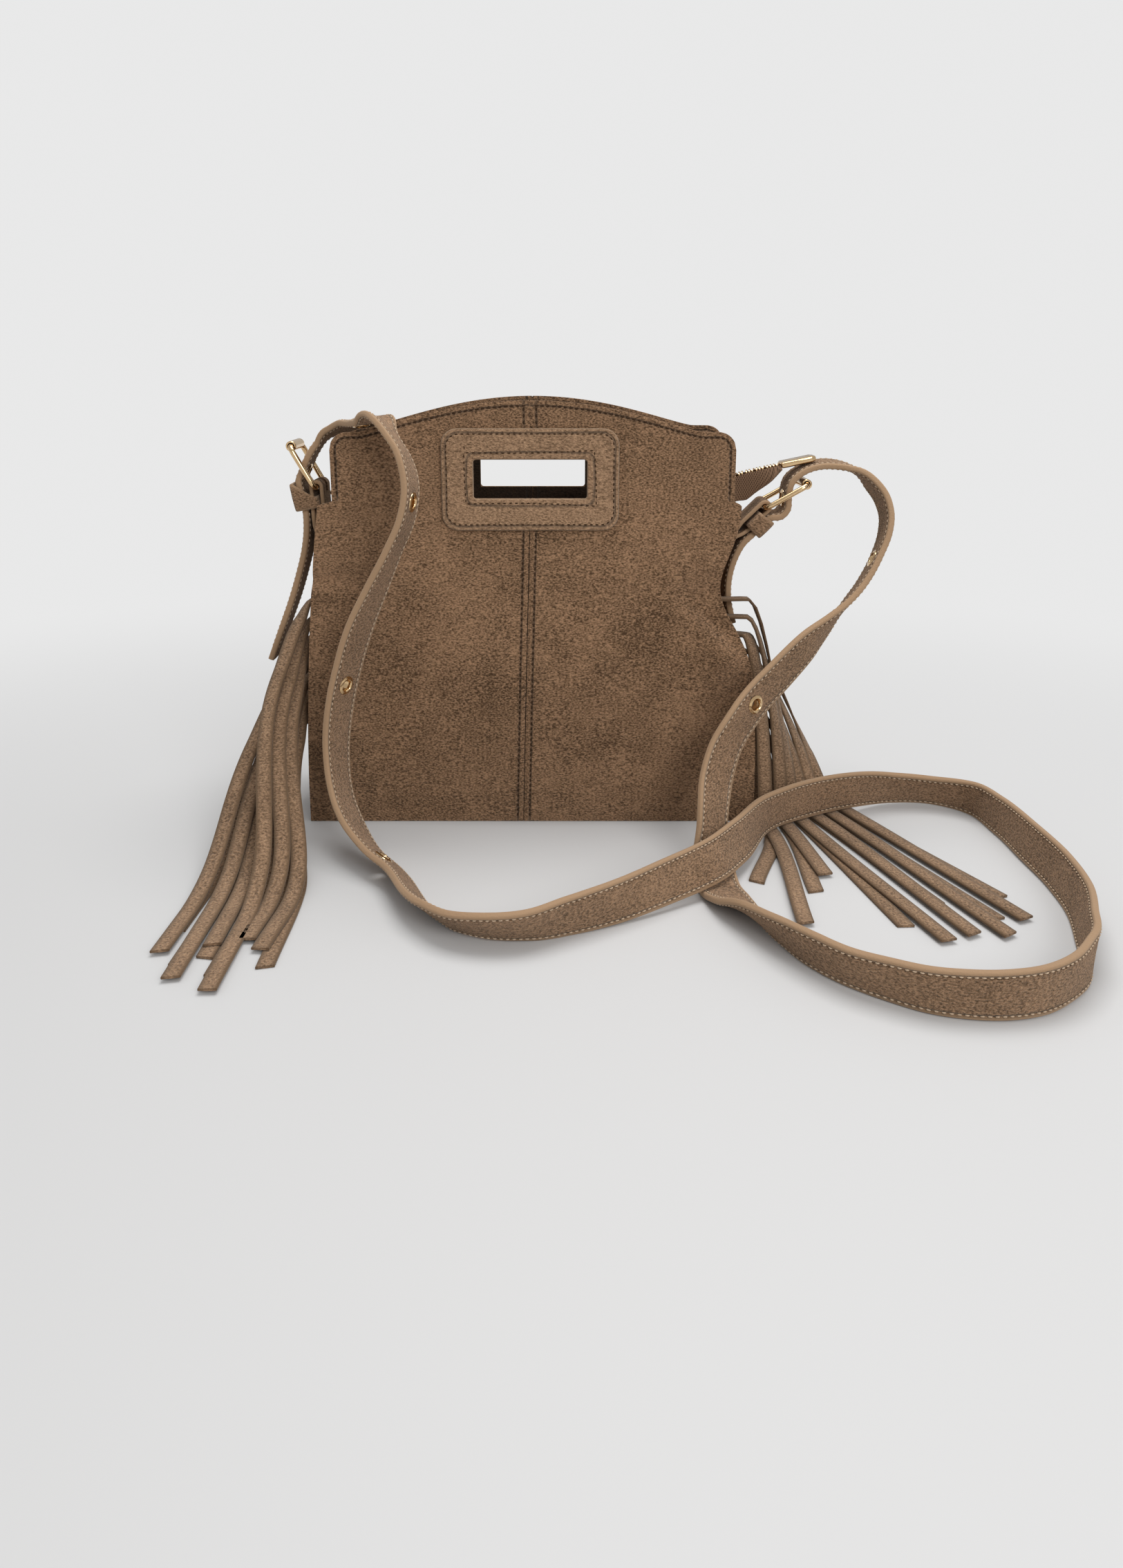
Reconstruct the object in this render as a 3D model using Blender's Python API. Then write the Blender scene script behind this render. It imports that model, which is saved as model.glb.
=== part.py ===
"""A small fringed suede bag with cut-out hand slots and a long buckled strap.

Metres, +Z up. The origin is the middle of the base on the floor. The front faces -Y, the width runs
along X. Left and right are as seen from the front.
"""
import math

import bmesh
import bpy
from mathutils import Vector

# Sides and faces
LEFT = -1
RIGHT = 1
FRONT = -1
BACK = 1
SIDE_NAMES = {LEFT: "left", RIGHT: "right"}

# Clearance between pieces that touch
GAP = 0.0003

# Suede body
SUEDE = 0.0016
BASE_HALF_WIDTH = 0.132
NOTCH_HALF_WIDTH = 0.121
SHOULDER_HALF_WIDTH = {LEFT: 0.1125, RIGHT: 0.1155}
BASE_HALF_DEPTH = 0.040
TOP_HALF_DEPTH = 0.029
NOTCH_HEIGHT = 0.187
NOTCH_STEP = 0.003
SHOULDER_CORNER = 0.010
ARCH_HEIGHT = 0.246
ARCH_FOOT_HEIGHT = 0.2285
ARCH_HALF_SPAN = 0.097
ARCH_ROUNDNESS = 1.25
BODY_BULGE = 0.007
SEAM_DRIFT = 0.005
SIDE_LAP = 0.0015

# Soft dents of the body
SIDE_DENT_DEPTH = 0.017
SIDE_DENT_HEIGHT = 0.138
SIDE_DENT_SPREAD = 0.030
BACK_DENT_SHARE = 0.6
GUSSET_FOLD_DEPTH = {LEFT: 0.002, RIGHT: 0.006}
GUSSET_FOLD_TOP = 0.180
GUSSET_FOLD_FADE = 0.030

# Hand slots and their patches
SLOT_WIDTH = 0.064
SLOT_HEIGHT = 0.022
SLOT_BOTTOM = 0.1914
SLOT_CORNER = 0.0015
PATCH_WIDTH = 0.100
PATCH_HEIGHT = 0.057
PATCH_BOTTOM = 0.1737
PATCH_CORNER = 0.009
PATCH_GAP = 0.0005

# Lining
LINING = 0.0008
LINING_EASE_DEPTH = 0.0065
LINING_EASE_WIDTH = 0.0132
LINING_TOP = 0.1775

# Zip
BAND = 0.0014
BAND_TOP = 0.1838
BAND_HALF_LENGTH = 0.091
BAND_EDGE = 0.012
TAPE = 0.0009
TAPE_HALF_WIDTH = 0.0135
TEETH_GAP = 0.0016
TEETH_WIDTH = 0.0019
TEETH_HEIGHT = 0.0024
CLIP_LENGTH = 0.0205
CLIP_WIDTH = 0.0125
CLIP_HEIGHT = 0.0038
SLIDER_REST = -0.073
SLIDER_LENGTH = 0.0095
SLIDER_WIDTH = 0.0090
SLIDER_PLATE = 0.0010
SLIDER_POST = 0.0008
BAIL_WIDTH = 0.0018
BAIL_RADIUS = 0.0028
BAIL_WIRE = 0.0010
PULL_LENGTH = 0.0220
PULL_WIDTH = 0.0070
PULL = 0.0010
PULL_WINDOW_LENGTH = 0.0048
PULL_WINDOW_WIDTH = 0.0042

# Strap
STRAP_WIDTH = 0.023
STRAP = 0.0035
STRAP_STEP = 0.0105
EYELET_RADIUS = 0.0054
EYELET_BORE = 0.0031
EYELET_BARREL = 0.0037
EYELET_FLANGE = 0.0006
EYELET_EASE = 0.0006
EYELET_SIDES = 10

# Buckles, tabs and keepers
WIRE_RADIUS = 0.0016
FRAME_LENGTH = 0.027
FRAME_HALF_WIDTH = 0.0145
FRAME_CORNER = 0.0040
ROLLER_RADIUS = 0.0030
ROLLER_LENGTH = 0.0220
PRONG_WIDTH = 0.0018
PRONG_HEIGHT = 0.0013
PRONG_RING = 0.0013
PRONG_OVERHANG = 0.0030
TAB = 0.0022
TAB_WIDTH = 0.0205
TAB_SLOT_WIDTH = 0.0042
TAB_SEWN_BOTTOM = {LEFT: 0.154, RIGHT: 0.160}
TAB_STRAIGHT = 0.0155
KEEPER = 0.0018
PIVOT = {LEFT: (0.1250, 0.1955), RIGHT: (0.1365, 0.1838)}
FRAME_ANGLE = {LEFT: math.radians(61.0), RIGHT: math.radians(29.7)}
TAB_ANGLE = {LEFT: math.radians(-91.5), RIGHT: math.radians(-135.0)}
# The strap's middle line through each keeper, from its upper end to its lower one, outward and up
KEEPER_RUN = {LEFT: ((0.1350, 0.1984), (0.1319, 0.1824)), RIGHT: ((0.1391, 0.1773), (0.1305, 0.1685))}
# How far the keeper's hollow reaches from that line: towards the bag and away from it
KEEPER_ROOM = {LEFT: (0.0073, 0.0034), RIGHT: (0.0049, 0.0023)}
# How much lower the keeper starts on the bag's side than on the outer side
KEEPER_SLANT = {LEFT: 0.0098, RIGHT: 0.0012}

# Fringe laces
LACE = 0.0013
LACE_WIDTH = 0.0085
LACE_SLIT_EASE = 0.0005
LACE_BEND = 0.0013
LACE_COLUMNS = (-0.0165, 0.010)
LACE_FIRST_ROW = (0.078, 0.058)
LACE_ROW_STEP = (0.0105, 0.0088)
LACE_PATHS = 3
LACE_ROWS = 2 * LACE_PATHS
LACE_LEVEL = 0.0017
LACE_EXIT = 0.005
LACE_CLEAR = 0.127
# The strips bend down soon after their slits: over this length, and by this share of the early fall.
LACE_LEAD = 0.0093
LACE_EARLY_FALL = {LEFT: 0.45, RIGHT: 0.0}

# The laces' free strips lie in two levels on three paths for each slit column. Each row holds one path
# seen from above, outward from the middle and along Y: the points beside the bag and near the landing,
# then the free end of the lower strip and of the upper one. Millimetres.
LACE_PLAN = {
    RIGHT: (
        (((134.6, -30), (139, -57)), (120.6, -120.6), (136.7, -167.6)),
        (((145.3, -25.3), (150, -51)), (149.6, -131.5), (158, -115)),
        (((154.4, -18.8), (160.3, -44.5)), (185.6, -167.6), (201, -184)),
        (((157.5, -5), (170.3, -38)), (208.1, -145.8), (215.2, -178.2)),
        (((165, 2), (179.3, -32)), (232.9, -160.7), (232.1, -178.9)),
        (((173.2, 9), (188.8, -26)), (243, -138), (246, -163)),
    ),
    LEFT: (
        (((136.5, -44), (119.5, -130)), (117.5, -205), (123, -192)),
        (((140.5, -44), (128.5, -130)), (129, -170), (131.5, -183)),
        (((144.5, -43), (137.9, -130)), (139, -212), (137.2, -226.5)),
        (((146.5, -4), (152, -45), (147.5, -130)), (147.4, -197), (146.5, -188)),
        (((146.8, -4), (155.8, -45), (156.4, -130)), (158, -203), (156.5, -216.5)),
        (((147.1, -4), (161.8, -45), (166.8, -130)), (168.5, -171), (169.2, -194)),
    ),
}
# How far from the bag's side a strip comes down: for the lowest row of each column, and more for each row
LACE_LANDING = {RIGHT: ((0.0245, 0.052), 0.0036), LEFT: ((0.1252, 0.1496), 0.007)}

# The strap's way from the arc over the left shoulder to the right buckle: its middle line and the
# direction of its light front edge, chosen by hand from the photo. Millimetres.
STRAP_ROUTE = (
    (-116, -2, 226.3, 0, -10, 2),
    (-110, -5, 229, 0, -10, 2),
    (-103.5, -10, 231.3, 0, -10, 2),
    (-95.5, -19, 233.2, -1, -10, 1),
    (-88.5, -30, 235, -1, -10, 0.5),
    (-82.5, -41.5, 235.8, -1.3, -9.7, 1),
    (-77.5, -49, 232, -1.8, -9.3, 2),
    (-73, -53, 226.5, -2, -9, 2.7),
    (-68, -57, 219.5, -2, -9, 3),
    (-63.5, -61, 203, -2, -10, 1.5),
    (-66, -63, 185, -2, -10, 2),
    (-74, -63, 167, -2, -9.5, 2),
    (-84, -62, 146, -3.5, -9, 2),
    (-94, -62, 124, -4.7, -8.6, 2),
    (-101, -62, 103, -4.6, -8.5, 2.4),
    (-106, -63, 83, -4.5, -8.5, 2.7),
    (-109, -67, 54, -4, -8.6, 3.2),
    (-106, -76, 35, -3.4, -8.7, 3.5),
    (-98, -89, 21.5, -3.2, -8.7, 3.8),
    (-85, -105, 11.5, -1.3, -9, 4.2),
    (-73.5, -116, 7.3, -1, -9, 4.4),
    (-47, -166.5, 9, -1.5, -7.7, 6.3),
    (-34, -179.5, 9.8, -1, -7, 7.1),
    (-18, -185.5, 10.6, -0.6, -5.9, 8.1),
    (1, -185, 10.9, -1.5, -5, 8.4),
    (22, -176, 11.3, -3, -3.4, 9),
    (45.5, -163.5, 12.2, -3, -1.3, 9.5),
    (70.5, -147, 14.3, -3, 1, 9.5),
    (97, -125.5, 15.8, -2.4, 4.4, 9),
    (113.5, -102, 15.8, -2, 4, 9),
    (137.5, -62, 15.6, -1.4, -1.3, 9.8),
    (165, -41.5, 15.4, -0.7, 0.2, 10),
    (191.5, -29.5, 15.4, -0.9, -1.2, 9.9),
    (219, -19, 12.6, -1.3, -3.5, 9.3),
    (243.5, -19.5, 11.4, -1.5, -4.2, 9),
    (264, -33.3, 11.6, -0.5, -2.7, 9.6),
    (270.7, -59, 11.8, 0.7, 0.3, 10),
    (273.7, -94, 11.8, 2, -0.4, 9.8),
    (275.5, -129, 11.4, 2.2, -3.8, 9),
    (272, -162, 11.2, 1.2, -5.2, 8.4),
    (264, -187, 11.4, 0.7, -4, 9.1),
    (253, -214.5, 11.6, 2.4, 3.7, 9),
    (238.5, -231, 11.8, 0.7, 0.5, 10),
    (222, -241.5, 11.8, -0.4, 0, 10),
    (205, -245.5, 11.8, -1, 0, 10),
    (188, -245, 11.8, -1.3, -0.3, 9.9),
    (172.9, -241.5, 11.8, -1.1, -1, 9.9),
    (158.5, -233.5, 11.6, -1.2, -1.8, 9.7),
    (144.5, -223.7, 11.4, -0.7, -3.3, 9.4),
    (131, -208.5, 11.2, -0.5, -4.4, 9),
    (119, -188, 9.8, -0.8, -7, 7.2),
    (109.5, -166, 7.4, -3, -7.4, 5.4),
    (103, -146, 3.9, -6.6, -6.4, 2),
    (99.3, -128, 2.1, -9.4, -3, 0),
    (98.3, -113, 7.5, -9.2, -3.8, -0.6),
    (98.8, -104, 19, -7.4, -6.6, -0.5),
    (99.8, -96.5, 33, -7.5, -6, 2.5),
    (102.5, -86.5, 46, -8, -5.5, 2.4),
    (108, -78, 60, -8, -5.3, 3),
    (117.5, -71, 74, -7.2, -5.4, 4.4),
    (127.5, -63.5, 84.5, -6.6, -4.9, 5.6),
    (140, -57.5, 96, -6.4, -5, 5.8),
    (155, -51, 110, -6.3, -6.2, 4.7),
    (168, -43.5, 120.5, -3.8, -8.3, 4),
    (180, -37, 132, -1.7, -9.6, 2.2),
    (191, -31, 144.5, -0.9, -9.8, 2),
    (199, -26, 158, -0.7, -9.8, 2),
    (204, -22, 171, -0.3, -9.8, 1.9),
    (205, -18.5, 181, -0.1, -9.8, 1.8),
    (202.5, -15, 190, 0.2, -9.7, 2.2),
    (196, -10.5, 198.7, -0.6, -9.5, 2.8),
    (188, -5, 205, -2, -9.8, 0.8),
    (179, -1.5, 207.7, -1.5, -9.9, -0.2),
    (169, 0, 207.9, -1, -10, -0.4),
)
# The strap through each buckle, along and across the frame, from the frame's far side to the keeper
STRAP_IN_BUCKLE = {
    LEFT: ((22.0, -16.0), (18.2, -7.0), (15.0, -2.0), (11.4, 2.8), (8.6, 6.5)),
    RIGHT: ((27.4, -7.0), (21.0, -5.6), (17.0, -2.1), (13.8, 3.0), (10.9, 7.6), (5.6, 9.6)),
}
# The free tails below the keepers, outward and up
STRAP_TAIL = {
    LEFT: ((131.9, 170), (133.8, 158), (137.3, 145.5), (142.8, 129), (149.5, 112), (157.4, 92)),
    RIGHT: ((124.5, 162.5), (119.3, 152), (116.8, 141), (116.8, 129), (120.2, 114.5)),
}
# Eyelets along the strap, by the nearest point of the route
EYELET_PLACES = (
    (-99, -20, 237), (-62, -61, 193), (-103.7, -62.3, 91), (-78.5, -111.5, 9.5), (125.5, -66, 82),
    (198, -30, 158),
)

COLOURS = {
    "suede": (0.225, 0.130, 0.071, 1.0),
    "patch suede": (0.250, 0.176, 0.118, 1.0),
    "strap suede": (0.250, 0.150, 0.085, 1.0),
    "lace suede": (0.270, 0.168, 0.098, 1.0),
    "lining cloth": (0.115, 0.078, 0.055, 1.0),
    "zip tape": (0.115, 0.066, 0.041, 1.0),
    "pale gold": (0.830, 0.640, 0.400, 1.0),
}
ROUGHNESS = {"pale gold": 0.22, "zip tape": 0.8, "lining cloth": 0.9}
METAL = ("pale gold",)


def clear_scene():
    for thing in list(bpy.data.objects):
        bpy.data.objects.remove(thing, do_unlink=True)


def make_material(node, finish):
    """A Principled material of its own for one sub-part."""
    material = bpy.data.materials.new(f"{node} {finish}")
    material.use_nodes = True
    shader = material.node_tree.nodes["Principled BSDF"]
    shader.inputs["Base Color"].default_value = COLOURS[finish]
    shader.inputs["Roughness"].default_value = ROUGHNESS.get(finish, 0.95)
    shader.inputs["Metallic"].default_value = 1.0 if finish in METAL else 0.0
    return material


def add_mesh(name, points, faces, finish, smooth=False, origin=None):
    """One closed body from points and faces, with its normals turned outwards."""
    mesh = bpy.data.meshes.new(name)
    shape = bmesh.new()
    place = Vector(origin) if origin else Vector()
    corners = [shape.verts.new(Vector(point) - place) for point in points]
    for face in faces:
        shape.faces.new([corners[index] for index in face])
    bmesh.ops.recalc_face_normals(shape, faces=shape.faces[:])
    shape.to_mesh(mesh)
    shape.free()
    mesh.materials.append(make_material(name, finish))
    if smooth:
        mesh.shade_smooth()
        mesh.set_sharp_from_angle(angle=math.radians(40))
    thing = bpy.data.objects.new(name, mesh)
    thing.location = place
    bpy.context.scene.collection.objects.link(thing)
    return thing


def cut(thing, cutter, operation="DIFFERENCE"):
    """Cut thing by cutter, or join cutter to it, and keep the cutter only as a wire guide."""
    cutter.hide_render = True
    cutter.display_type = "WIRE"
    modifier = thing.modifiers.new(cutter.name, "BOOLEAN")
    modifier.operation = operation
    modifier.object = cutter
    modifier.solver = "EXACT"


def box_points(centre, half, axes=None):
    """The eight corners of a box, turned by three axes where they are given."""
    along, across, up = axes or (Vector((1, 0, 0)), Vector((0, 1, 0)), Vector((0, 0, 1)))
    middle = Vector(centre)
    signs = ((-1, -1), (1, -1), (1, 1), (-1, 1))
    return [middle + along * (half[0] * a) + across * (half[1] * b) + up * (half[2] * c)
            for c in (-1, 1) for a, b in signs]


BOX_FACES = ((0, 1, 2, 3), (4, 5, 6, 7), (0, 1, 5, 4), (1, 2, 6, 5), (2, 3, 7, 6), (3, 0, 4, 7))


def boxes(name, box_list, finish, origin=None):
    """One mesh of separate boxes, for a plain block or for a cutter."""
    points = []
    faces = []
    for corners in box_list:
        first = len(points)
        points.extend(corners)
        faces.extend([tuple(first + index for index in face) for face in BOX_FACES])
    return add_mesh(name, points, faces, finish, origin=origin)


def smooth_step(value):
    value = min(1.0, max(0.0, value))
    return value * value * (3.0 - 2.0 * value)


def blend(start, end, share):
    return start + (end - start) * share


def bell(distance, spread):
    return math.exp(-(distance / spread) ** 2)


def smooth_line(points, steps, values=None):
    """A smooth line through the points, or the values that go with them. steps gives the pieces."""
    values = values or points
    gaps = [max(1e-6, (after - before).length) for before, after in zip(points, points[1:])]
    rates = [(after - before) / gap for before, after, gap in zip(values, values[1:], gaps)]
    slopes = [rates[0]]
    for before, after, gap, next_gap in zip(rates, rates[1:], gaps, gaps[1:]):
        slopes.append((before * next_gap + after * gap) / (gap + next_gap))
    slopes.append(rates[-1])
    line = []
    for index, gap in enumerate(gaps):
        start, end = values[index], values[index + 1]
        for step in range(steps[index]):
            t = step / steps[index]
            line.append(start * (2 * t ** 3 - 3 * t ** 2 + 1) + end * (3 * t ** 2 - 2 * t ** 3)
                        + slopes[index] * (gap * (t ** 3 - 2 * t ** 2 + t))
                        + slopes[index + 1] * (gap * (t ** 3 - t ** 2)))
    line.append(values[-1].copy())
    return line


# The shape of the body

def half_width(side, face, z):
    """How far the side seam lies from the middle of a panel at height z, below the notch."""
    width = BASE_HALF_WIDTH - (BASE_HALF_WIDTH - NOTCH_HALF_WIDTH) * (z / NOTCH_HEIGHT) ** 2.2
    if side == RIGHT:
        share = 1.0 if face == FRONT else BACK_DENT_SHARE
        width -= share * SIDE_DENT_DEPTH * bell(z - SIDE_DENT_HEIGHT, SIDE_DENT_SPREAD)
    return width


def outline_half_width(side, face, z):
    """The panel's own outline: the side seam, then a step in at the notch to the shoulder."""
    if z <= NOTCH_HEIGHT:
        return half_width(side, face, z)
    share = smooth_step((z - NOTCH_HEIGHT) / NOTCH_STEP)
    return blend(half_width(side, face, NOTCH_HEIGHT), SHOULDER_HALF_WIDTH[side], share)


def top_height(side, x):
    """The arched top edge, with a rounded corner at each shoulder."""
    share = min(1.0, x / ARCH_HALF_SPAN)
    arch = ARCH_FOOT_HEIGHT + (ARCH_HEIGHT - ARCH_FOOT_HEIGHT) * (1 - share ** 2) ** ARCH_ROUNDNESS
    start = SHOULDER_HALF_WIDTH[side] - SHOULDER_CORNER
    if x <= start:
        return arch
    inside = min(1.0, (x - start) / SHOULDER_CORNER)
    return ARCH_FOOT_HEIGHT - SHOULDER_CORNER * (1 - math.sqrt(1 - inside ** 2))


def half_depth(z):
    return blend(BASE_HALF_DEPTH, TOP_HALF_DEPTH, smooth_step(z / SLOT_BOTTOM))


def face_y(face, x, z):
    """The outer surface of the front or back panel: it leans in, swells and is softly dented."""
    share = min(1.0, z / NOTCH_HEIGHT)
    swell = BODY_BULGE * math.sin(math.pi * share) * max(0.0, math.cos(math.pi * x / (2 * BASE_HALF_WIDTH)))
    depth = half_depth(z) + swell
    if face == FRONT:
        depth -= 0.005 * bell(x - 0.104, 0.020) * bell(z - 0.136, 0.014)
        depth += 0.005 * bell(x - 0.112, 0.018) * bell(z - 0.098, 0.016)
        depth -= 0.0025 * bell(x + 0.118, 0.026) * bell(z - 0.143, 0.008)
    return face * depth


def seam_x(z):
    return -SEAM_DRIFT * max(0.0, 1 - z / SLOT_BOTTOM)


def gusset_edge_y(side, face, z):
    """Where the gusset ends, just inside the panel."""
    return face_y(face, side * half_width(side, face, z), z) - face * (SUEDE + GAP)


def gusset_out(side, y, z):
    """How far out the gusset's outer surface lies at y and z."""
    front = gusset_edge_y(side, FRONT, z)
    back = gusset_edge_y(side, BACK, z)
    share = min(1.0, max(0.0, (y - front) / (back - front)))
    edge = blend(half_width(side, FRONT, z), half_width(side, BACK, z), share) - SIDE_LAP
    rise = smooth_step(z / GUSSET_FOLD_FADE) * smooth_step((GUSSET_FOLD_TOP - z) / GUSSET_FOLD_FADE)
    return edge - GUSSET_FOLD_DEPTH[side] * math.sin(math.pi * share) * rise


# Panels

PANEL_COLUMNS = (0.0, 0.016, SLOT_WIDTH / 2, 0.054, 0.076)
PANEL_EDGE_COLUMNS = (0.0200, 0.0095, 0.0040, 0.0010, 0.0)
PANEL_ROWS = (
    0.0, 0.018, 0.048, 0.076, 0.096, 0.112, 0.126, 0.140, 0.154, 0.170,
    NOTCH_HEIGHT, NOTCH_HEIGHT + NOTCH_STEP, SLOT_BOTTOM, SLOT_BOTTOM + SLOT_HEIGHT,
)
PANEL_TOP_ROWS = (0.5, 1.0)


def panel_grid(side, face):
    """Rows of x and z over half a panel, from its base to its arched top."""
    grid = []
    shoulder = SHOULDER_HALF_WIDTH[side]
    columns = PANEL_COLUMNS + tuple(shoulder - inset for inset in PANEL_EDGE_COLUMNS)
    for z in PANEL_ROWS:
        row = []
        edge = outline_half_width(side, face, z)
        for nominal in columns:
            share = nominal / shoulder
            out = nominal + share * (edge - shoulder)
            row.append((seam_x(z) * (1 - share) + side * max(out, GAP / 2), z))
        grid.append(row)
    slot_top = PANEL_ROWS[-1]
    for share in PANEL_TOP_ROWS:
        grid.append([(side * max(nominal, GAP / 2), blend(slot_top, top_height(side, nominal), share))
                     for nominal in columns])
    return grid


def in_slot(row, column):
    """The cells of the half panel that the hand slot takes away."""
    return row == PANEL_ROWS.index(SLOT_BOTTOM) and column < PANEL_COLUMNS.index(SLOT_WIDTH / 2)


def sheet_solid(name, outer, inner, finish, left_out=None):
    """A closed sheet between two grids of points, with its rim and the rim of any opening."""
    rows = len(outer)
    columns = len(outer[0])
    points = [point for row in outer for point in row] + [point for row in inner for point in row]
    below = rows * columns
    faces = []
    edge_count = {}
    for row in range(rows - 1):
        for column in range(columns - 1):
            if left_out and left_out(row, column):
                continue
            first = row * columns + column
            ring = (first, first + 1, first + columns + 1, first + columns)
            faces.append(ring)
            faces.append(tuple(index + below for index in reversed(ring)))
            for start, end in zip(ring, ring[1:] + ring[:1]):
                edge_count.setdefault(frozenset((start, end)), []).append((start, end))
    for uses in edge_count.values():
        if len(uses) == 1:
            start, end = uses[0]
            faces.append((start, end, end + below, start + below))
    used = sorted({index for face in faces for index in face})
    renumber = {index: place for place, index in enumerate(used)}
    return add_mesh(name, [points[index] for index in used],
                    [tuple(renumber[index] for index in face) for face in faces], finish)


def make_panel_half(side, face):
    name = f"{'front' if face == FRONT else 'back'}_panel_{SIDE_NAMES[side]}"
    grid = panel_grid(side, face)
    outer = [[(x, face_y(face, x, z), z) for x, z in row] for row in grid]
    inner = [[(x, face_y(face, x, z) - face * SUEDE, z) for x, z in row] for row in grid]
    return sheet_solid(name, outer, inner, "suede", left_out=in_slot)


def rounded_rectangle(half_x, half_z, radius, arc_steps):
    """Points round a rectangle with round corners, with a point in the middle of each long side."""
    ring = []
    corners = ((1, 1, 0), (-1, 1, 90), (-1, -1, 180), (1, -1, 270))
    for sign_x, sign_z, start in corners:
        for step in range(arc_steps + 1):
            turn = math.radians(start + 90 * step / arc_steps)
            ring.append((sign_x * (half_x - radius) + radius * math.cos(turn),
                         sign_z * (half_z - radius) + radius * math.sin(turn)))
        if sign_x == sign_z:
            ring.append((0.0, sign_z * half_z))
    return ring


def make_handle_patch(face):
    """A flat suede frame sewn round the hand slot, lying on the panel's outer surface."""
    name = f"{'front' if face == FRONT else 'back'}_handle_patch"
    slot_middle = SLOT_BOTTOM + SLOT_HEIGHT / 2
    patch_middle = PATCH_BOTTOM + PATCH_HEIGHT / 2
    inner = [(x, z + slot_middle)
             for x, z in rounded_rectangle(SLOT_WIDTH / 2, SLOT_HEIGHT / 2, SLOT_CORNER, 4)]
    outer = [(x, z + patch_middle)
             for x, z in rounded_rectangle(PATCH_WIDTH / 2, PATCH_HEIGHT / 2, PATCH_CORNER, 4)]
    points = []
    count = len(inner)
    for lift in (PATCH_GAP, PATCH_GAP + SUEDE):
        for ring in (inner, outer):
            points.extend([(x, face_y(face, x, z) + face * lift, z) for x, z in ring])
    faces = []
    for index in range(count):
        after = (index + 1) % count
        faces.append((index, after, count + after, count + index))
        faces.append((2 * count + index, 2 * count + after, 3 * count + after, 3 * count + index))
        faces.append((index, after, 2 * count + after, 2 * count + index))
        faces.append((count + index, count + after, 3 * count + after, 3 * count + index))
    return add_mesh(name, points, faces, "patch suede")


GUSSET_ROWS = (0.0, 0.004, 0.024, 0.050, 0.076, 0.096, 0.112, 0.126, 0.140, 0.154, 0.170, 0.1848)
GUSSET_COLUMNS = 4


def make_gusset(side):
    """The side of the bag between the two panels, with a slit for each strip of the fringe."""
    outer = []
    inner = []
    for z in GUSSET_ROWS:
        front = gusset_edge_y(side, FRONT, z)
        back = gusset_edge_y(side, BACK, z)
        outer_row = []
        inner_row = []
        for column in range(GUSSET_COLUMNS + 1):
            y = blend(front, back, column / GUSSET_COLUMNS)
            out = gusset_out(side, y, z)
            outer_row.append((side * out, y, z))
            inner_row.append((side * (out - SUEDE), y, z))
        outer.append(outer_row)
        inner.append(inner_row)
    gusset = sheet_solid(f"{SIDE_NAMES[side]}_gusset", outer, inner, "suede")
    slits = []
    half = (0.006, LACE_WIDTH / 2 + LACE_SLIT_EASE, LACE / 2 + LACE_SLIT_EASE)
    for column, y in enumerate(LACE_COLUMNS):
        for row in range(LACE_ROWS):
            z = slit_height(column, row)
            slits.append(box_points((side * gusset_out(side, y, z), y, z), half))
    cut(gusset, boxes(f"{SIDE_NAMES[side]}_gusset_slits", slits, "suede"))
    return gusset


def make_base():
    """The flat bottom that the bag stands on."""
    inset = SUEDE + SIDE_LAP + GAP
    half_x = half_width(LEFT, FRONT, 0.0) - inset
    half_y = BASE_HALF_DEPTH - SUEDE - GAP
    return boxes("base_panel", [box_points((0, 0, SUEDE / 2), (half_x, half_y, SUEDE / 2))], "suede")


LINING_HEIGHTS = (0.0, 0.04, 0.08, 0.110, 0.138, 0.162, 1.0)


def make_lining():
    """An open cloth bag inside the suede one."""
    floor = SUEDE + GAP
    points = []
    arc_steps = 2
    for wall in (0.0, LINING):
        for share in LINING_HEIGHTS:
            z = LINING_TOP if share == 1.0 else max(share, floor)
            half_x = half_width(RIGHT, FRONT, z) - LINING_EASE_WIDTH - wall
            half_y = half_depth(z) - LINING_EASE_DEPTH - wall
            lift = LINING if wall and share == 0.0 else 0.0
            points.append([(x, y, z + lift) for x, y in rounded_rectangle(half_x, half_y, 0.010, arc_steps)])
    count = len(points[0])
    levels = len(LINING_HEIGHTS)
    flat = [point for ring in points for point in ring]
    faces = []
    for shell in range(2):
        for level in range(levels - 1):
            first = (shell * levels + level) * count
            for index in range(count):
                after = (index + 1) % count
                faces.append((first + index, first + after, first + count + after, first + count + index))
        bottom = shell * levels * count
        faces.append(tuple(bottom + index for index in range(count)))
    for index in range(count):
        after = (index + 1) % count
        top = (levels - 1) * count
        top_inside = (2 * levels - 1) * count
        faces.append((top + index, top + after, top_inside + after, top_inside + index))
    return add_mesh("lining", flat, faces, "lining cloth")


# Zip

CHAIN_HEIGHT = BAND_TOP - BAND - GAP * 2 - TAPE / 2
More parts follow.
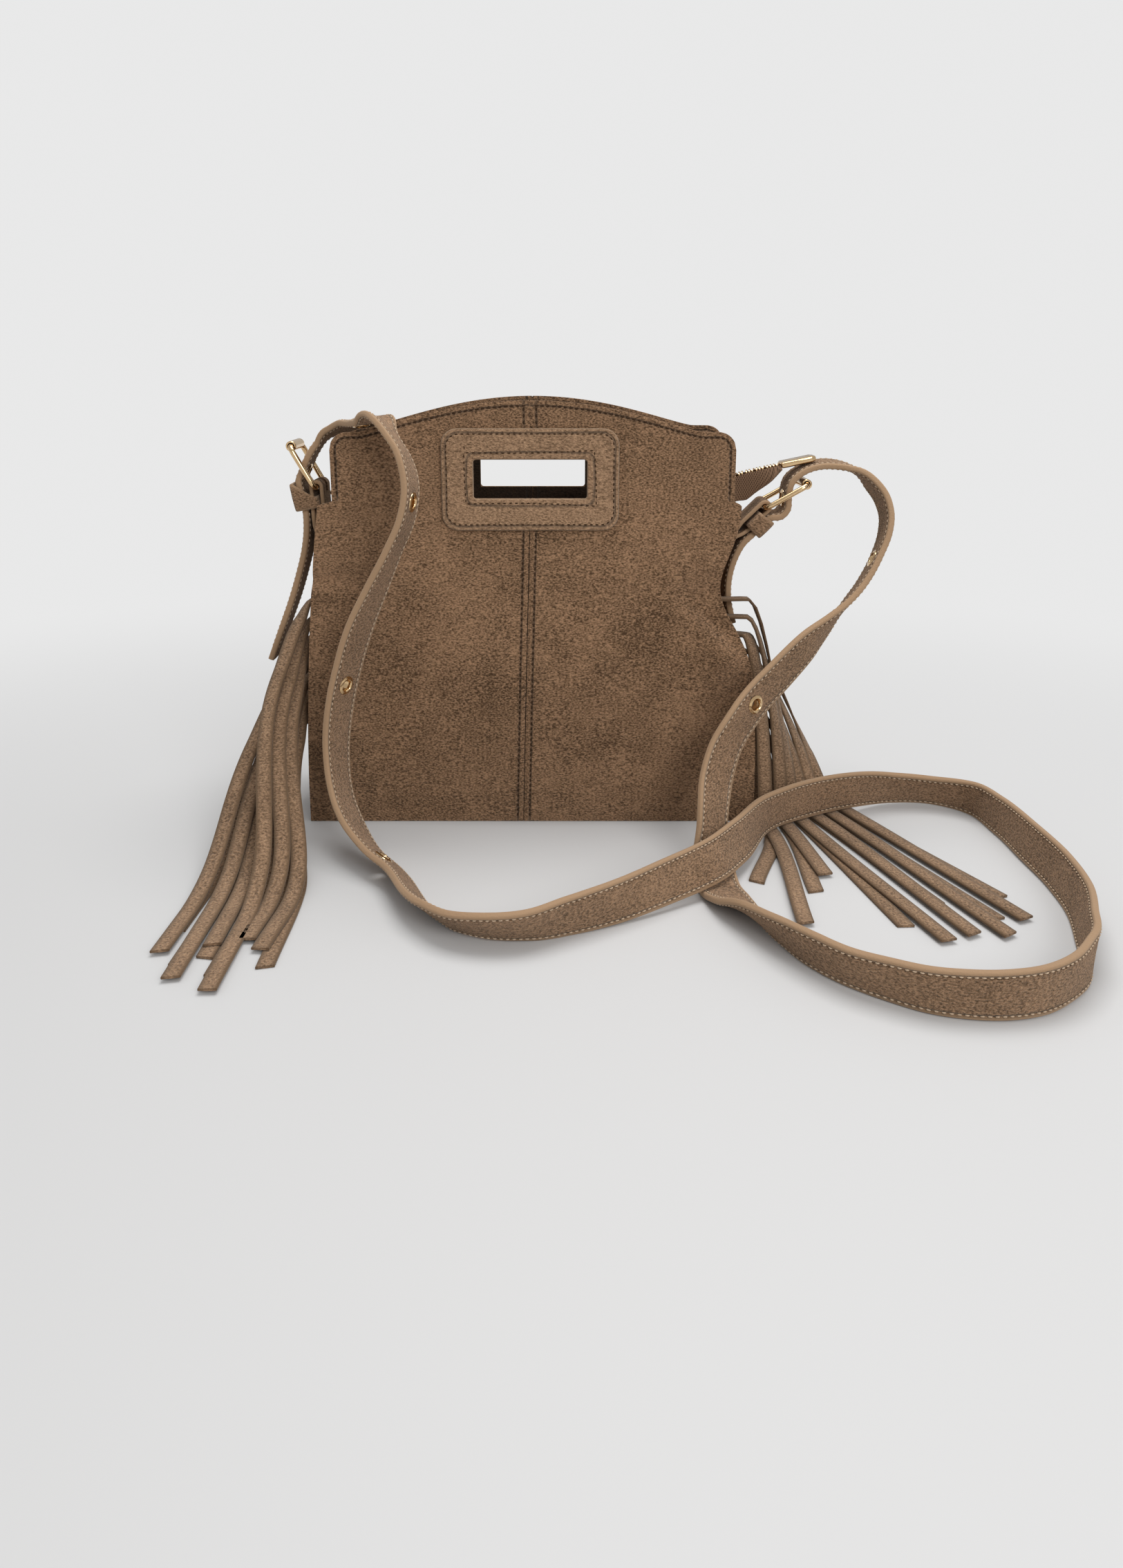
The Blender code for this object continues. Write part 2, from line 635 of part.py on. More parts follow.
# The middle of the teeth from left to right: x, y, z, how far the tapes fold down, and their width
ZIP_ROUTE = (
    (-(NOTCH_HALF_WIDTH + 0.0115), 0.0225, 0.1600, 0, 0.0044),
    (-(NOTCH_HALF_WIDTH + 0.0125), 0.0225, 0.1700, 0, 0.0044),
    (-(NOTCH_HALF_WIDTH + 0.0115), 0.0225, 0.1800, 0, 0.0044),
    (-(NOTCH_HALF_WIDTH + 0.0075), 0.0236, 0.1862, 0, 0.0044),
    (-(NOTCH_HALF_WIDTH + 0.0015), 0.0240, 0.1886, 0, 0.0044),
    (-0.1160, 0.0177, 0.1892, 0, 0.0037),
    (-0.1100, 0.0120, 0.1874, 0, 0.0060),
    (-0.1030, 0.0060, 0.1842, 0, 0.0085),
    (-0.0940, 0.0, CHAIN_HEIGHT, 0, TAPE_HALF_WIDTH),
    (-0.0800, 0.0, CHAIN_HEIGHT, 0, TAPE_HALF_WIDTH),
    (0.0800, 0.0, CHAIN_HEIGHT, 0, TAPE_HALF_WIDTH),
    (0.0930, 0.0, CHAIN_HEIGHT + 0.0010, 8, TAPE_HALF_WIDTH),
    (0.1030, 0.0, 0.1895, 45, 0.0135),
    (0.1130, 0.0, 0.1975, 78, 0.0130),
    (0.1210, 0.0, 0.2015, 84, 0.0150),
    (0.1310, 0.0, 0.2042, 80, 0.0113),
    (0.1390, 0.0, 0.2060, 60, 0.0082),
    (0.1455, 0.0, 0.2074, 25, 0.0048),
)


def zip_frames():
    """Points along the chain with its side and up directions, the tape's fold and its width."""
    route = [Vector(station[:3]) for station in ZIP_ROUTE]
    extra = [Vector((station[3], station[4] * 1000, 0)) for station in ZIP_ROUTE]
    steps = [1, 1, 2, 2, 2, 2, 2, 1, 1, 1, 1] + [2] * (len(route) - 12)
    line = smooth_line(route, steps)
    shape = smooth_line(route, steps, extra)
    frames = []
    for index, place in enumerate(line):
        before = line[max(0, index - 1)]
        after = line[min(len(line) - 1, index + 1)]
        along = (after - before).normalized()
        side = Vector((0, 1, 0))
        side = (side - along * side.dot(along)).normalized()
        up = along.cross(side)
        frames.append((place, side, up, math.radians(shape[index].x), shape[index].y / 1000))
    return frames


def loft(name, rings, finish, closed=False, smooth=False, origin=None):
    """A closed body through equal rings of points, capped at both ends unless it closes on itself."""
    count = len(rings[0])
    points = [point for ring in rings for point in ring]
    faces = []
    last = len(rings) if closed else len(rings) - 1
    for level in range(last):
        first = level * count
        after_ring = ((level + 1) % len(rings)) * count
        for index in range(count):
            after = (index + 1) % count
            faces.append((first + index, first + after, after_ring + after, after_ring + index))
    if not closed:
        faces.append(tuple(range(count)))
        faces.append(tuple(range(len(points) - count, len(points))))
    return add_mesh(name, points, faces, finish, smooth=smooth, origin=origin)


def make_zip_band(face):
    """The suede strip that carries one zip tape, sewn to the inside of its panel."""
    z = BAND_TOP - BAND / 2
    outer = half_depth(BAND_TOP) - SUEDE - GAP * 2
    middle = (outer + BAND_EDGE) / 2
    name = f"{'front' if face == FRONT else 'back'}_zip_band"
    half = (BAND_HALF_LENGTH, (outer - BAND_EDGE) / 2, BAND / 2)
    return boxes(name, [box_points((0, face * middle, z), half)], "suede")


def make_zip_tape(face):
    rings = []
    for place, side, up, fold, width in zip_frames():
        across = side * (face * math.cos(fold)) - up * math.sin(fold)
        normal = up * math.cos(fold) + side * (face * math.sin(fold))
        start = place + side * (face * (TEETH_GAP / 2 + TEETH_WIDTH + GAP * 2 + TAPE / 2))
        end = start + across * width
        lift = normal * (TAPE / 2)
        rings.append([start - lift, end - lift, end + lift, start + lift])
    return loft(f"{'front' if face == FRONT else 'back'}_zip_tape", rings, "zip tape")


def make_zip_teeth(face):
    """One row of teeth as a bead along the edge of its tape."""
    rings = []
    for place, side, up, fold, width in zip_frames():
        near = place + side * (face * TEETH_GAP / 2)
        far = near + side * (face * TEETH_WIDTH)
        lift = up * (TEETH_HEIGHT / 2)
        rings.append([near - lift, far - lift, far + lift, near + lift])
    return loft(f"{'front' if face == FRONT else 'back'}_zip_teeth", rings, "pale gold")


def make_zip_clip():
    """The folded metal end on the free right end of the zip."""
    place, side, up, fold, width = zip_frames()[-1]
    before = zip_frames()[-2][0]
    along = (place - before).normalized()
    centre = place + along * (CLIP_LENGTH / 2 + GAP)
    half_width_clip = CLIP_WIDTH / 2
    rings = []
    for share, taper in ((-0.5, 0.94), (-0.44, 1.0), (0.38, 1.0), (0.5, 0.72)):
        middle = centre + along * (CLIP_LENGTH * share)
        across = side * (half_width_clip * taper)
        lift = up * (CLIP_HEIGHT / 2 * taper)
        flat = across * 0.7
        low = lift * 0.7
        rings.append([middle - flat - lift, middle + flat - lift,
                      middle + across - low, middle + across + low,
                      middle + flat + lift, middle - flat + lift,
                      middle - across + low, middle - across - low])
    return loft("zip_end_clip", rings, "pale gold")


def slider_top():
    return CHAIN_HEIGHT + TEETH_HEIGHT / 2 + GAP + SLIDER_PLATE


def make_zip_slider():
    """Two plates round the teeth, joined by a thin post, with a bail for the pull on top."""
    rest = Vector((SLIDER_REST, 0, CHAIN_HEIGHT))
    slider = bpy.data.objects.new("zip_slider_axis", None)
    slider.location = rest
    bpy.context.scene.collection.objects.link(slider)
    plate_half = (SLIDER_LENGTH / 2, SLIDER_WIDTH / 2, SLIDER_PLATE / 2)
    plate_lift = TEETH_HEIGHT / 2 + GAP + SLIDER_PLATE / 2
    body = boxes("zip_slider", [box_points((0, 0, plate_lift), plate_half)], "pale gold")
    below = boxes("zip_slider_lower_plate", [box_points((0, 0, -plate_lift), plate_half)], "pale gold")
    post_half = (SLIDER_LENGTH / 4, SLIDER_POST / 2, plate_lift)
    post = boxes("zip_slider_post", [box_points((0, 0, 0), post_half)], "pale gold")
    rings = []
    arc_steps = 6
    for step in range(arc_steps + 1):
        turn = math.pi * step / arc_steps
        centre = Vector((math.cos(turn) * BAIL_RADIUS, 0, plate_lift + math.sin(turn) * BAIL_RADIUS))
        out = Vector((math.cos(turn), 0, math.sin(turn))) * (BAIL_WIRE / 2)
        across = Vector((0, BAIL_WIDTH / 2, 0))
        rings.append([centre - out - across, centre + out - across,
                      centre + out + across, centre - out + across])
    bail = loft("zip_slider_bail", rings, "pale gold")
    for piece in (body, below, post, bail):
        piece.parent = slider
    for piece in (post, below, bail):
        cut(body, piece, "UNION")
    return slider


def make_zip_pull(slider):
    """A flat tag whose end bar turns under the slider's bail."""
    axis = Vector((0, 0, slider_top() + GAP + PULL / 2 - CHAIN_HEIGHT))
    half_length = PULL_LENGTH / 2
    start = PULL / 2
    outline = boxes("zip_pull", [box_points((start - half_length, 0, 0),
                                            (half_length, PULL_WIDTH / 2, PULL / 2))], "pale gold")
    window_middle = -start - PULL_WINDOW_LENGTH / 2
    window = boxes("zip_pull_window", [box_points((window_middle, 0, 0),
                                                  (PULL_WINDOW_LENGTH / 2, PULL_WINDOW_WIDTH / 2, PULL))],
                   "pale gold")
    for piece in (outline, window):
        piece.parent = slider
        piece.location = axis
    cut(outline, window)
    return outline


# Buckles

def frame_point(side, along, across, y=0.0):
    """A point near a buckle: along its frame from the pivot bar, and across it, away from the bag."""
    out, up = PIVOT[side]
    turn = FRAME_ANGLE[side]
    return Vector((side * (out + along * math.cos(turn) + across * math.sin(turn)), y,
                   up + along * math.sin(turn) - across * math.cos(turn)))


def tab_point(side, along, across, y=0.0):
    """A point near a buckle: along its tab from the pivot bar towards the bag, and across it."""
    out, up = PIVOT[side]
    turn = TAB_ANGLE[side]
    return Vector((side * (out + along * math.cos(turn) - across * math.sin(turn)), y,
                   up + along * math.sin(turn) + across * math.cos(turn)))


TAB_WRAP_RADIUS = WIRE_RADIUS + GAP + TAB / 2


def make_tab(side):
    """A suede tab folded over the pivot bar, its two ends laid flat down the gusset."""
    bottom = TAB_SEWN_BOTTOM[side]
    near_half = TAB / 2 + GAP
    spine = []
    for along in (TAB_STRAIGHT, TAB_STRAIGHT * 0.55, 0.0):
        spine.append((tab_point(side, along, 0.0), tab_point(side, along, 1.0) - tab_point(side, along, 0.0),
                      TAB_WRAP_RADIUS))
    sewn = []
    sewn_top = min(spine[0][0].z - 0.008, bottom + 0.012)
    for z in (bottom, sewn_top):
        out = gusset_out(side, TAB_WIDTH / 2, z) + GAP + TAB + GAP
        sewn.append((Vector((side * out, 0, z)), Vector((side, 0, 0)), near_half))
    middle = (sewn[1][0] + spine[0][0]) / 2
    turn = (sewn[1][1] + spine[0][1].normalized()).normalized()
    ease = (Vector((side * 0.0006, 0, 0)) + middle, turn, blend(near_half, TAB_WRAP_RADIUS, 0.5))
    stations = sewn + [ease] + spine
    inner_line = [place - normal.normalized() * spread for place, normal, spread in stations]
    outer_line = [place + normal.normalized() * spread for place, normal, spread in stations]
    pivot = tab_point(side, 0.0, 0.0)
    back = (tab_point(side, -1.0, 0.0) - pivot).normalized()
    out_way = (tab_point(side, 0.0, 1.0) - pivot).normalized()
    wrap = []
    arc_steps = 8
    for step in range(1, arc_steps):
        turn = math.pi * step / arc_steps
        wrap.append(pivot + back * (math.sin(turn) * TAB_WRAP_RADIUS)
                    - out_way * (math.cos(turn) * TAB_WRAP_RADIUS))
    line = inner_line + wrap + list(reversed(outer_line))
    edges = [Vector((0, -1, 0))] * len(line)
    tab = ribbon(f"{SIDE_NAMES[side]}_tab", line, edges, TAB_WIDTH, TAB, "strap suede")
    reach = TAB_WRAP_RADIUS + TAB
    below = WIRE_RADIUS + GAP + PRONG_RING + GAP
    axes = (back, Vector((0, 1, 0)), out_way)
    half = ((reach + below) / 2, TAB_SLOT_WIDTH / 2, reach)
    middle = pivot + back * ((reach - below) / 2)
    slot = boxes(f"{SIDE_NAMES[side]}_tab_slot", [box_points(middle, half, axes)], "strap suede")
    cut(tab, slot)
    return tab


def ribbon(name, line, edges, width, thickness, finish):
    """A flat strip along a line. edges gives the direction of its front edge at each point."""
    rings = []
    for index, place in enumerate(line):
        before = line[max(0, index - 1)]
        after = line[min(len(line) - 1, index + 1)]
        if 0 < index < len(line) - 1:
            along = (place - before).normalized() + (after - place).normalized()
        else:
            along = after - before
        along.normalize()
        edge = edges[index] - along * edges[index].dot(along)
        edge.normalize()
        normal = along.cross(edge)
        bend = 1.0
        if 0 < index < len(line) - 1:
            bend = max(0.5, (place - before).normalized().dot(along))
        half_edge = edge * (width / 2)
        half_normal = normal * (thickness / 2 / bend)
        rings.append([place - half_edge - half_normal, place + half_edge - half_normal,
                      place + half_edge + half_normal, place - half_edge + half_normal])
    return loft(name, rings, finish)


def keeper_point(side, along, across, y=0.0):
    """A point near a keeper: along the strap's run through it, and across, away from the bag."""
    (top_out, top_up), (low_out, low_up) = KEEPER_RUN[side]
    way = Vector((low_out - top_out, low_up - top_up)).normalized()
    out = top_out + way.x * along - way.y * across
    return Vector((side * out, y, top_up + way.y * along + way.x * across))


def keeper_length(side):
    top, low = (Vector(point) for point in KEEPER_RUN[side])
    return (low - top).length


def make_keeper(side):
    """A suede loop round the tab's outer layer and the strap."""
    inward, outward = KEEPER_ROOM[side]
    half_y = STRAP_WIDTH / 2 + GAP * 2
    length = keeper_length(side)
    corners = ((-inward, -1), (outward, -1), (outward, 1), (-inward, 1))
    rings = []
    for across, side_y in corners:
        ring = []
        for grow, end in ((0.0, 0), (0.0, 1), (KEEPER, 1), (KEEPER, 0)):
            reach = across + math.copysign(grow, across)
            start = KEEPER_SLANT[side] * (outward - across) / (outward + inward)
            ring.append(keeper_point(side, length if end else start, reach, side_y * (half_y + grow)))
        rings.append(ring)
    return loft(f"{SIDE_NAMES[side]}_keeper", rings, "strap suede", closed=True)


def make_frame(side):
    """The buckle's wire frame, turning on the bar that the tab holds."""
    pivot = frame_point(side, 0.0, 0.0)
    along = (frame_point(side, 1.0, 0.0) - pivot).normalized()
    across = (frame_point(side, 0.0, 1.0) - pivot).normalized()
    half_length = FRAME_LENGTH / 2
    corners = rounded_rectangle(half_length, FRAME_HALF_WIDTH, FRAME_CORNER, 3)
    sides = 8
    rings = []
    for index, (u, y) in enumerate(corners):
        before = corners[index - 1]
        after = corners[(index + 1) % len(corners)]
        way = Vector((after[0] - before[0], after[1] - before[1])).normalized()
        out = along * way.y - Vector((0, 1, 0)) * way.x
        centre = pivot + along * (half_length + u) + Vector((0, y, 0))
        ring = []
        for step in range(sides):
            turn = 2 * math.pi * (step + 0.5) / sides
            ring.append(centre + (out * math.cos(turn) + across * math.sin(turn)) * WIRE_RADIUS)
        rings.append(ring)
    name = f"{SIDE_NAMES[side]}_buckle_frame"
    return loft(name, rings, "pale gold", closed=True, smooth=True, origin=pivot)


def turned(name, centre, axis, profile, segments, finish, origin=None):
    """A ring turned about an axis from a closed profile of radius and height."""
    axis = axis.normalized()
    first = axis.orthogonal().normalized()
    second = axis.cross(first)
    rings = []
    for step in range(segments):
        turn = 2 * math.pi * step / segments
        way = first * math.cos(turn) + second * math.sin(turn)
        rings.append([centre + way * radius + axis * height for radius, height in profile])
    return loft(name, rings, finish, closed=True, smooth=True, origin=origin)


def make_roller(side):
    centre = frame_point(side, FRAME_LENGTH, 0.0)
    bore = WIRE_RADIUS + GAP
    half = ROLLER_LENGTH / 2
    profile = ((bore, -half), (ROLLER_RADIUS, -half), (ROLLER_RADIUS, half), (bore, half))
    name = f"{SIDE_NAMES[side]}_roller"
    return turned(name, centre, Vector((0, 1, 0)), profile, 14, "pale gold", origin=centre)


def prong_line(side):
    """The prong's shaft from the pivot to just past the roller."""
    start = frame_point(side, 0.0020, 0.0021)
    end = frame_point(side, FRAME_LENGTH + PRONG_OVERHANG, ROLLER_RADIUS + GAP + PRONG_HEIGHT / 2)
    return start, end


def make_prong(side):
    """A flat prong with a ring round the pivot bar, lying on the roller."""
    pivot = frame_point(side, 0.0, 0.0)
    bore = WIRE_RADIUS + GAP
    half = PRONG_WIDTH / 2
    profile = ((bore, -half), (bore + PRONG_RING, -half), (bore + PRONG_RING, half), (bore, half))
    name = f"{SIDE_NAMES[side]}_prong"
    prong = turned(name, pivot, Vector((0, 1, 0)), profile, 14, "pale gold", origin=pivot)
    start, end = prong_line(side)
    along = (end - start).normalized()
    up = along.cross(Vector((0, 1, 0))).normalized()
    rings = []
    for share, narrow in ((0.0, 1.0), (0.72, 0.92), (1.0, 0.6)):
        middle = start + (end - start) * share
        across = Vector((0, half * narrow, 0))
        lift = up * (PRONG_HEIGHT / 2 * narrow)
        rings.append([middle - across - lift, middle + across - lift,
                      middle + across + lift, middle - across + lift])
    shaft = loft(f"{SIDE_NAMES[side]}_prong_shaft", rings, "pale gold", origin=pivot)
    cut(prong, shaft, "UNION")
    return prong


# Strap

def strap_line():
    """The strap's middle line and edge directions, from the left tail's tip to the right one's."""
    stations = []
    ends = {}
    for side in (LEFT, RIGHT):
        edge = Vector((0, -1, 0))
        length = keeper_length(side)
        keeper = [keeper_point(side, along, 0.0) for along in (0.0, length / 2, length)]
        buckle = [frame_point(side, along / 1000, across / 1000) for along, across in STRAP_IN_BUCKLE[side]]
        tail = [Vector((side * out / 1000, 0, up / 1000)) for out, up in STRAP_TAIL[side]]
        ends[side] = [(place, edge) for place in buckle + keeper + tail]
    stations.extend(reversed(ends[LEFT]))
    for x, y, z, edge_x, edge_y, edge_z in STRAP_ROUTE:
        stations.append((Vector((x, y, z)) / 1000, Vector((edge_x, edge_y, edge_z)).normalized()))
    stations.extend(ends[RIGHT])
    places = [place for place, edge in stations]
    edges = [edge for place, edge in stations]
    steps = [max(1, math.ceil((after - before).length / STRAP_STEP))
             for before, after in zip(places, places[1:])]
    return smooth_line(places, steps), smooth_line(places, steps, edges)


def strap_frame_at(line, edges, target):
    """The point of the strap nearest to a target, with its edge direction and its face normal."""
    best = min(range(1, len(line) - 1), key=lambda index: (line[index] - target).length)
    along = (line[best + 1] - line[best - 1]).normalized()
    share = (target - line[best]).dot(along)
    place = line[best] + along * max(-STRAP_STEP / 2, min(STRAP_STEP / 2, share))
    edge = (edges[best] - along * edges[best].dot(along)).normalized()
    return place, edge, along.cross(edge).normalized()


def prong_crossing(side, line):
    """The point of the strap's middle line where the prong passes through it."""
    start, end = prong_line(side)
    along = (end - start).normalized()
    best = min(range(len(line)), key=lambda index: line_distance(line[index], start, along))
    near = sorted((best - 1, best, best + 1), key=lambda index: line_distance(line[index], start, along))[:2]
    first, second = line[near[0]], line[near[1]]
    share = line_distance(first, start, along)
    share /= share + line_distance(second, start, along)
    return first + (second - first) * share


def line_distance(point, start, along):
    offset = point - start
    return (offset - along * offset.dot(along)).length


def eyelet_targets(line):
    targets = [Vector(place) / 1000 for place in EYELET_PLACES]
    for side in (LEFT, RIGHT):
        targets.append(prong_crossing(side, line))
    return targets


def make_strap_and_eyelets():
    line, edges = strap_line()
    strap = ribbon("strap", line, edges, STRAP_WIDTH, STRAP, "strap suede")
    face = STRAP / 2 + EYELET_EASE
    top = face + EYELET_FLANGE
    profile = ((EYELET_BORE, -top), (EYELET_RADIUS, -top), (EYELET_RADIUS, -face), (EYELET_BARREL, -face),
               (EYELET_BARREL, face), (EYELET_RADIUS, face), (EYELET_RADIUS, top), (EYELET_BORE, top))
    hole = EYELET_BARREL + GAP
    for number, target in enumerate(eyelet_targets(line), start=1):
        place, edge, normal = strap_frame_at(line, edges, target)
        turned(f"eyelet_{number}", place, normal, profile, EYELET_SIDES, "pale gold")
        first = normal.orthogonal().normalized()
        second = normal.cross(first)
        rings = []
        for height in (-STRAP, STRAP):
            ring = []
            for step in range(EYELET_SIDES):
                turn = 2 * math.pi * step / EYELET_SIDES
                way = first * math.cos(turn) + second * math.sin(turn)
                ring.append(place + normal * height + way * hole)
            rings.append(ring)
        cut(strap, loft(f"eyelet_{number}_hole", rings, "strap suede"))
    return strap


# Fringe

def slit_height(column, row):
    return LACE_FIRST_ROW[column] + row * LACE_ROW_STEP[column]


def fallen_share(side, distance, landing):
    """How far a strip has dropped towards the floor, from 0 at its slit to 1 where it lands."""
    share = min(1.0, max(0.0, distance / landing))
    early = (1 - (1 - share) ** 3) * smooth_step(distance / LACE_LEAD)
    return smooth_step(share) * (1 - LACE_EARLY_FALL[side]) + early * LACE_EARLY_FALL[side]


def strip_line(side, column, row):
    """One free strip from its slit to the floor: its middle line and the direction of its edge."""
    y = LACE_COLUMNS[column]
    z = slit_height(column, row)
    out = gusset_out(side, y, z)
    level, path = divmod(row, LACE_PATHS)
    route, *ends = LACE_PLAN[side][column * LACE_PATHS + path]
    stations = [Vector((out, y)), Vector((out + LACE_EXIT, y))]
    stations.extend(Vector(point) / 1000 for point in route + (ends[level],))
    plan = smooth_line(stations, [2, 10] + [16] * (len(stations) - 3))
    travel = [min(0.0, out - LACE_CLEAR)]
    for before, after in zip(plan, plan[1:]):
        travel.append(travel[-1] + (after - before).length)
    lowest_row, each_row = LACE_LANDING[side]
    landing = lowest_row[column] + row * each_row
    floor = GAP / 2 + LACE / 2 + level * LACE_LEVEL
    points = []
    edges = []
    for index, place in enumerate(plan):
        height = floor + (z - floor) * (1 - fallen_share(side, travel[index], landing))
        before = plan[max(0, index - 1)]
        after = plan[min(len(plan) - 1, index + 1)]
        way = (after - before).normalized()
        points.append(Vector((side * place.x, place.y, height)))
        edges.append(Vector((side * way.y, -way.x, 0)))
    return thin_out(points, edges)


def thin_out(points, edges):
    """Keep the points that the bends of a strip need, and both ends."""
    kept = [0]
    turn = 0.0
    for index in range(1, len(points) - 1):
        before = (points[index] - points[index - 1]).normalized()
        after = (points[index + 1] - points[index]).normalized()
        turn += before.angle(after)
        far = (points[index] - points[kept[-1]]).length
        if turn > math.radians(17) or far > 0.060:
            kept.append(index)
            turn = 0.0
    kept.append(len(points) - 1)
    return [points[index] for index in kept], [edges[index] for index in kept]


def make_lace(side, column, pair):
    """One suede lace: out of the upper slit to one free end, and out of the lower slit to the other."""
    lower = pair * 2
    upper = lower + 1
    lower_line, lower_edges = strip_line(side, column, lower)
    upper_line, upper_edges = strip_line(side, column, upper)
    y = LACE_COLUMNS[column]
    link = []
    for row, sign in ((upper, -1), (lower, 1)):
        z = slit_height(column, row)
        wall = gusset_out(side, y, z) - SUEDE
        bend = []
        for degrees in (0, 30, 60, 90):
            turn = math.radians(degrees)
            depth = 0.0006 + LACE_BEND * math.sin(turn)
            bend.append(Vector((side * (wall - depth), y, z + sign * LACE_BEND * (1 - math.cos(turn)))))
        link.extend(bend if sign < 0 else reversed(bend))
    inside_edges = [Vector((0, -1, 0))] * len(link)
    upper_edges = [edge for edge in reversed(upper_edges)]
    lower_edges = [-edge for edge in lower_edges]
    line = list(reversed(upper_line)) + link + lower_line
    edges = upper_edges + inside_edges + lower_edges
    sign = 1.0
    fixed = [edges[0]]
    for before, edge in zip(edges, edges[1:]):
        if before.dot(edge) < 0:
            sign = -sign
        fixed.append(edge * sign)
    name = f"{SIDE_NAMES[side]}_lace_{'front' if column == 0 else 'rear'}_{pair + 1}"
    return ribbon(name, line, fixed, LACE_WIDTH, LACE, "lace suede")


def build():
    clear_scene()
    for face in (FRONT, BACK):
        for side in (LEFT, RIGHT):
            make_panel_half(side, face)
        make_handle_patch(face)
        make_zip_band(face)
        make_zip_tape(face)
        make_zip_teeth(face)
    make_base()
    make_lining()
    make_zip_clip()
    slider = make_zip_slider()
    make_zip_pull(slider)
    for side in (LEFT, RIGHT):
        make_gusset(side)
        make_tab(side)
        make_keeper(side)
        make_frame(side)
        make_roller(side)
        make_prong(side)
        for column in range(len(LACE_COLUMNS)):
            for pair in range(LACE_PATHS):
                make_lace(side, column, pair)
    make_strap_and_eyelets()


build()
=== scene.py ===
"""The look of a small fringed suede bag: its suede, stitching, gold fittings, strap and laces."""
import math
import random

import bmesh
import bpy
import numpy as np
from mathutils import Matrix, Vector, noise


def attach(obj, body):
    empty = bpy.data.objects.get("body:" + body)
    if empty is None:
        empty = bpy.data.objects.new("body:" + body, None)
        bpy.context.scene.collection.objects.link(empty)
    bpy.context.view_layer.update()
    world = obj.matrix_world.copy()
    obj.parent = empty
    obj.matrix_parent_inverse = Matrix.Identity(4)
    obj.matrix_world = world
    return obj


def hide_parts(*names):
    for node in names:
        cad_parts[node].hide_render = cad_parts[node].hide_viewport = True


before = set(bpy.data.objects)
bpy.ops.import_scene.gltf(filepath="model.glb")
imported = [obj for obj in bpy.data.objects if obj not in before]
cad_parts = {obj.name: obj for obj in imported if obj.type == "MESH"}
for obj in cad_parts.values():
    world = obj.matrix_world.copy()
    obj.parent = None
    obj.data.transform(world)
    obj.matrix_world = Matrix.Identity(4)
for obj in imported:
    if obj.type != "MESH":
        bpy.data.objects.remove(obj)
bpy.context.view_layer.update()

# Camera: a little above the bag, looking down at its front from arm's length.
eye = bpy.data.cameras.new("eye")
eye.lens = 26.0
eye.sensor_width = 36.0
eye.shift_y = -0.0994712
camera = bpy.data.objects.new("camera", eye)
camera.location = (0.0176, -0.668, 0.2753)
camera.rotation_euler = (math.radians(76.0), 0.0, 0.0)
bpy.context.scene.collection.objects.link(camera)
bpy.context.scene.camera = camera

# Studio floor: one pale sheet that runs back and fades into the same plain grey as the air behind it,
# and soft light from a large ceiling panel, a smaller one at the right and the white room.
BACKDROP = (0.812, 0.812, 0.812, 1.0)
FLOOR_GREY = 0.57


def new_finish(name, roughness=0.5):
    """A new material with its node tree and its shader."""
    made = bpy.data.materials.new(name)
    made.use_nodes = True
    shader = made.node_tree.nodes["Principled BSDF"]
    shader.inputs["Roughness"].default_value = roughness
    return made, made.node_tree, shader


def set_inputs(node, values):
    for name, value in values.items():
        node.inputs[name].default_value = value


def blend_shaders(tree, share, first, second, output):
    """Shows one shader or the other, as the share says."""
    blended = tree.nodes.new("ShaderNodeMixShader")
    for socket, value in zip(blended.inputs, (share, first, second)):
        tree.links.new(value, socket)
    tree.links.new(blended.outputs["Shader"], tree.nodes[output].inputs["Surface"])


bpy.ops.object.select_all(action="DESELECT")
bpy.ops.mesh.primitive_plane_add(size=24.0, location=(0.0, 0.0, -0.00005))
floor = bpy.context.object
floor.name = "studio_floor"
floor_finish, tree, paper = new_finish("studio paper", 0.55)
set_inputs(paper, {"Base Color": (FLOOR_GREY, FLOOR_GREY * 0.997, FLOOR_GREY * 0.995, 1.0),
                   "Specular IOR Level": 0.25})
haze = tree.nodes.new("ShaderNodeEmission")
haze.inputs["Color"].default_value = BACKDROP
place = tree.nodes.new("ShaderNodeTexCoord")
away = tree.nodes.new("ShaderNodeVectorMath")
away.operation = "DISTANCE"
away.inputs[1].default_value = (0.0, -0.35, 0.0)
tree.links.new(place.outputs["Object"], away.inputs[0])
fade = tree.nodes.new("ShaderNodeMapRange")
fade.interpolation_type = "SMOOTHSTEP"
set_inputs(fade, {"From Min": 0.30, "From Max": 1.0})
tree.links.new(away.outputs["Value"], fade.inputs["Value"])
blend_shaders(tree, fade.outputs["Result"], paper.outputs["BSDF"], haze.outputs["Emission"],
              "Material Output")
floor.data.materials.append(floor_finish)

room = bpy.data.worlds.new("studio air")
bpy.context.scene.world = room
room.use_nodes = True
tree = room.node_tree
air = tree.nodes["Background"]
set_inputs(air, {"Color": (1.0, 1.0, 1.0, 1.0), "Strength": 0.53})
seen = tree.nodes.new("ShaderNodeBackground")
seen.inputs["Color"].default_value = BACKDROP
rays = tree.nodes.new("ShaderNodeLightPath")
blend_shaders(tree, rays.outputs["Is Camera Ray"], air.outputs["Background"], seen.outputs["Background"],
              "World Output")


def soft_panel(name, where, towards, width, power):
    """A square lamp panel that faces a point."""
    lamp = bpy.data.lights.new(name, "AREA")
    lamp.shape = "SQUARE"
    lamp.size = width
    lamp.energy = power
    panel = bpy.data.objects.new(name, lamp)
    panel.location = where
    panel.rotation_euler = (Vector(towards) - Vector(where)).to_track_quat("-Z", "Y").to_euler()
    bpy.context.scene.collection.objects.link(panel)


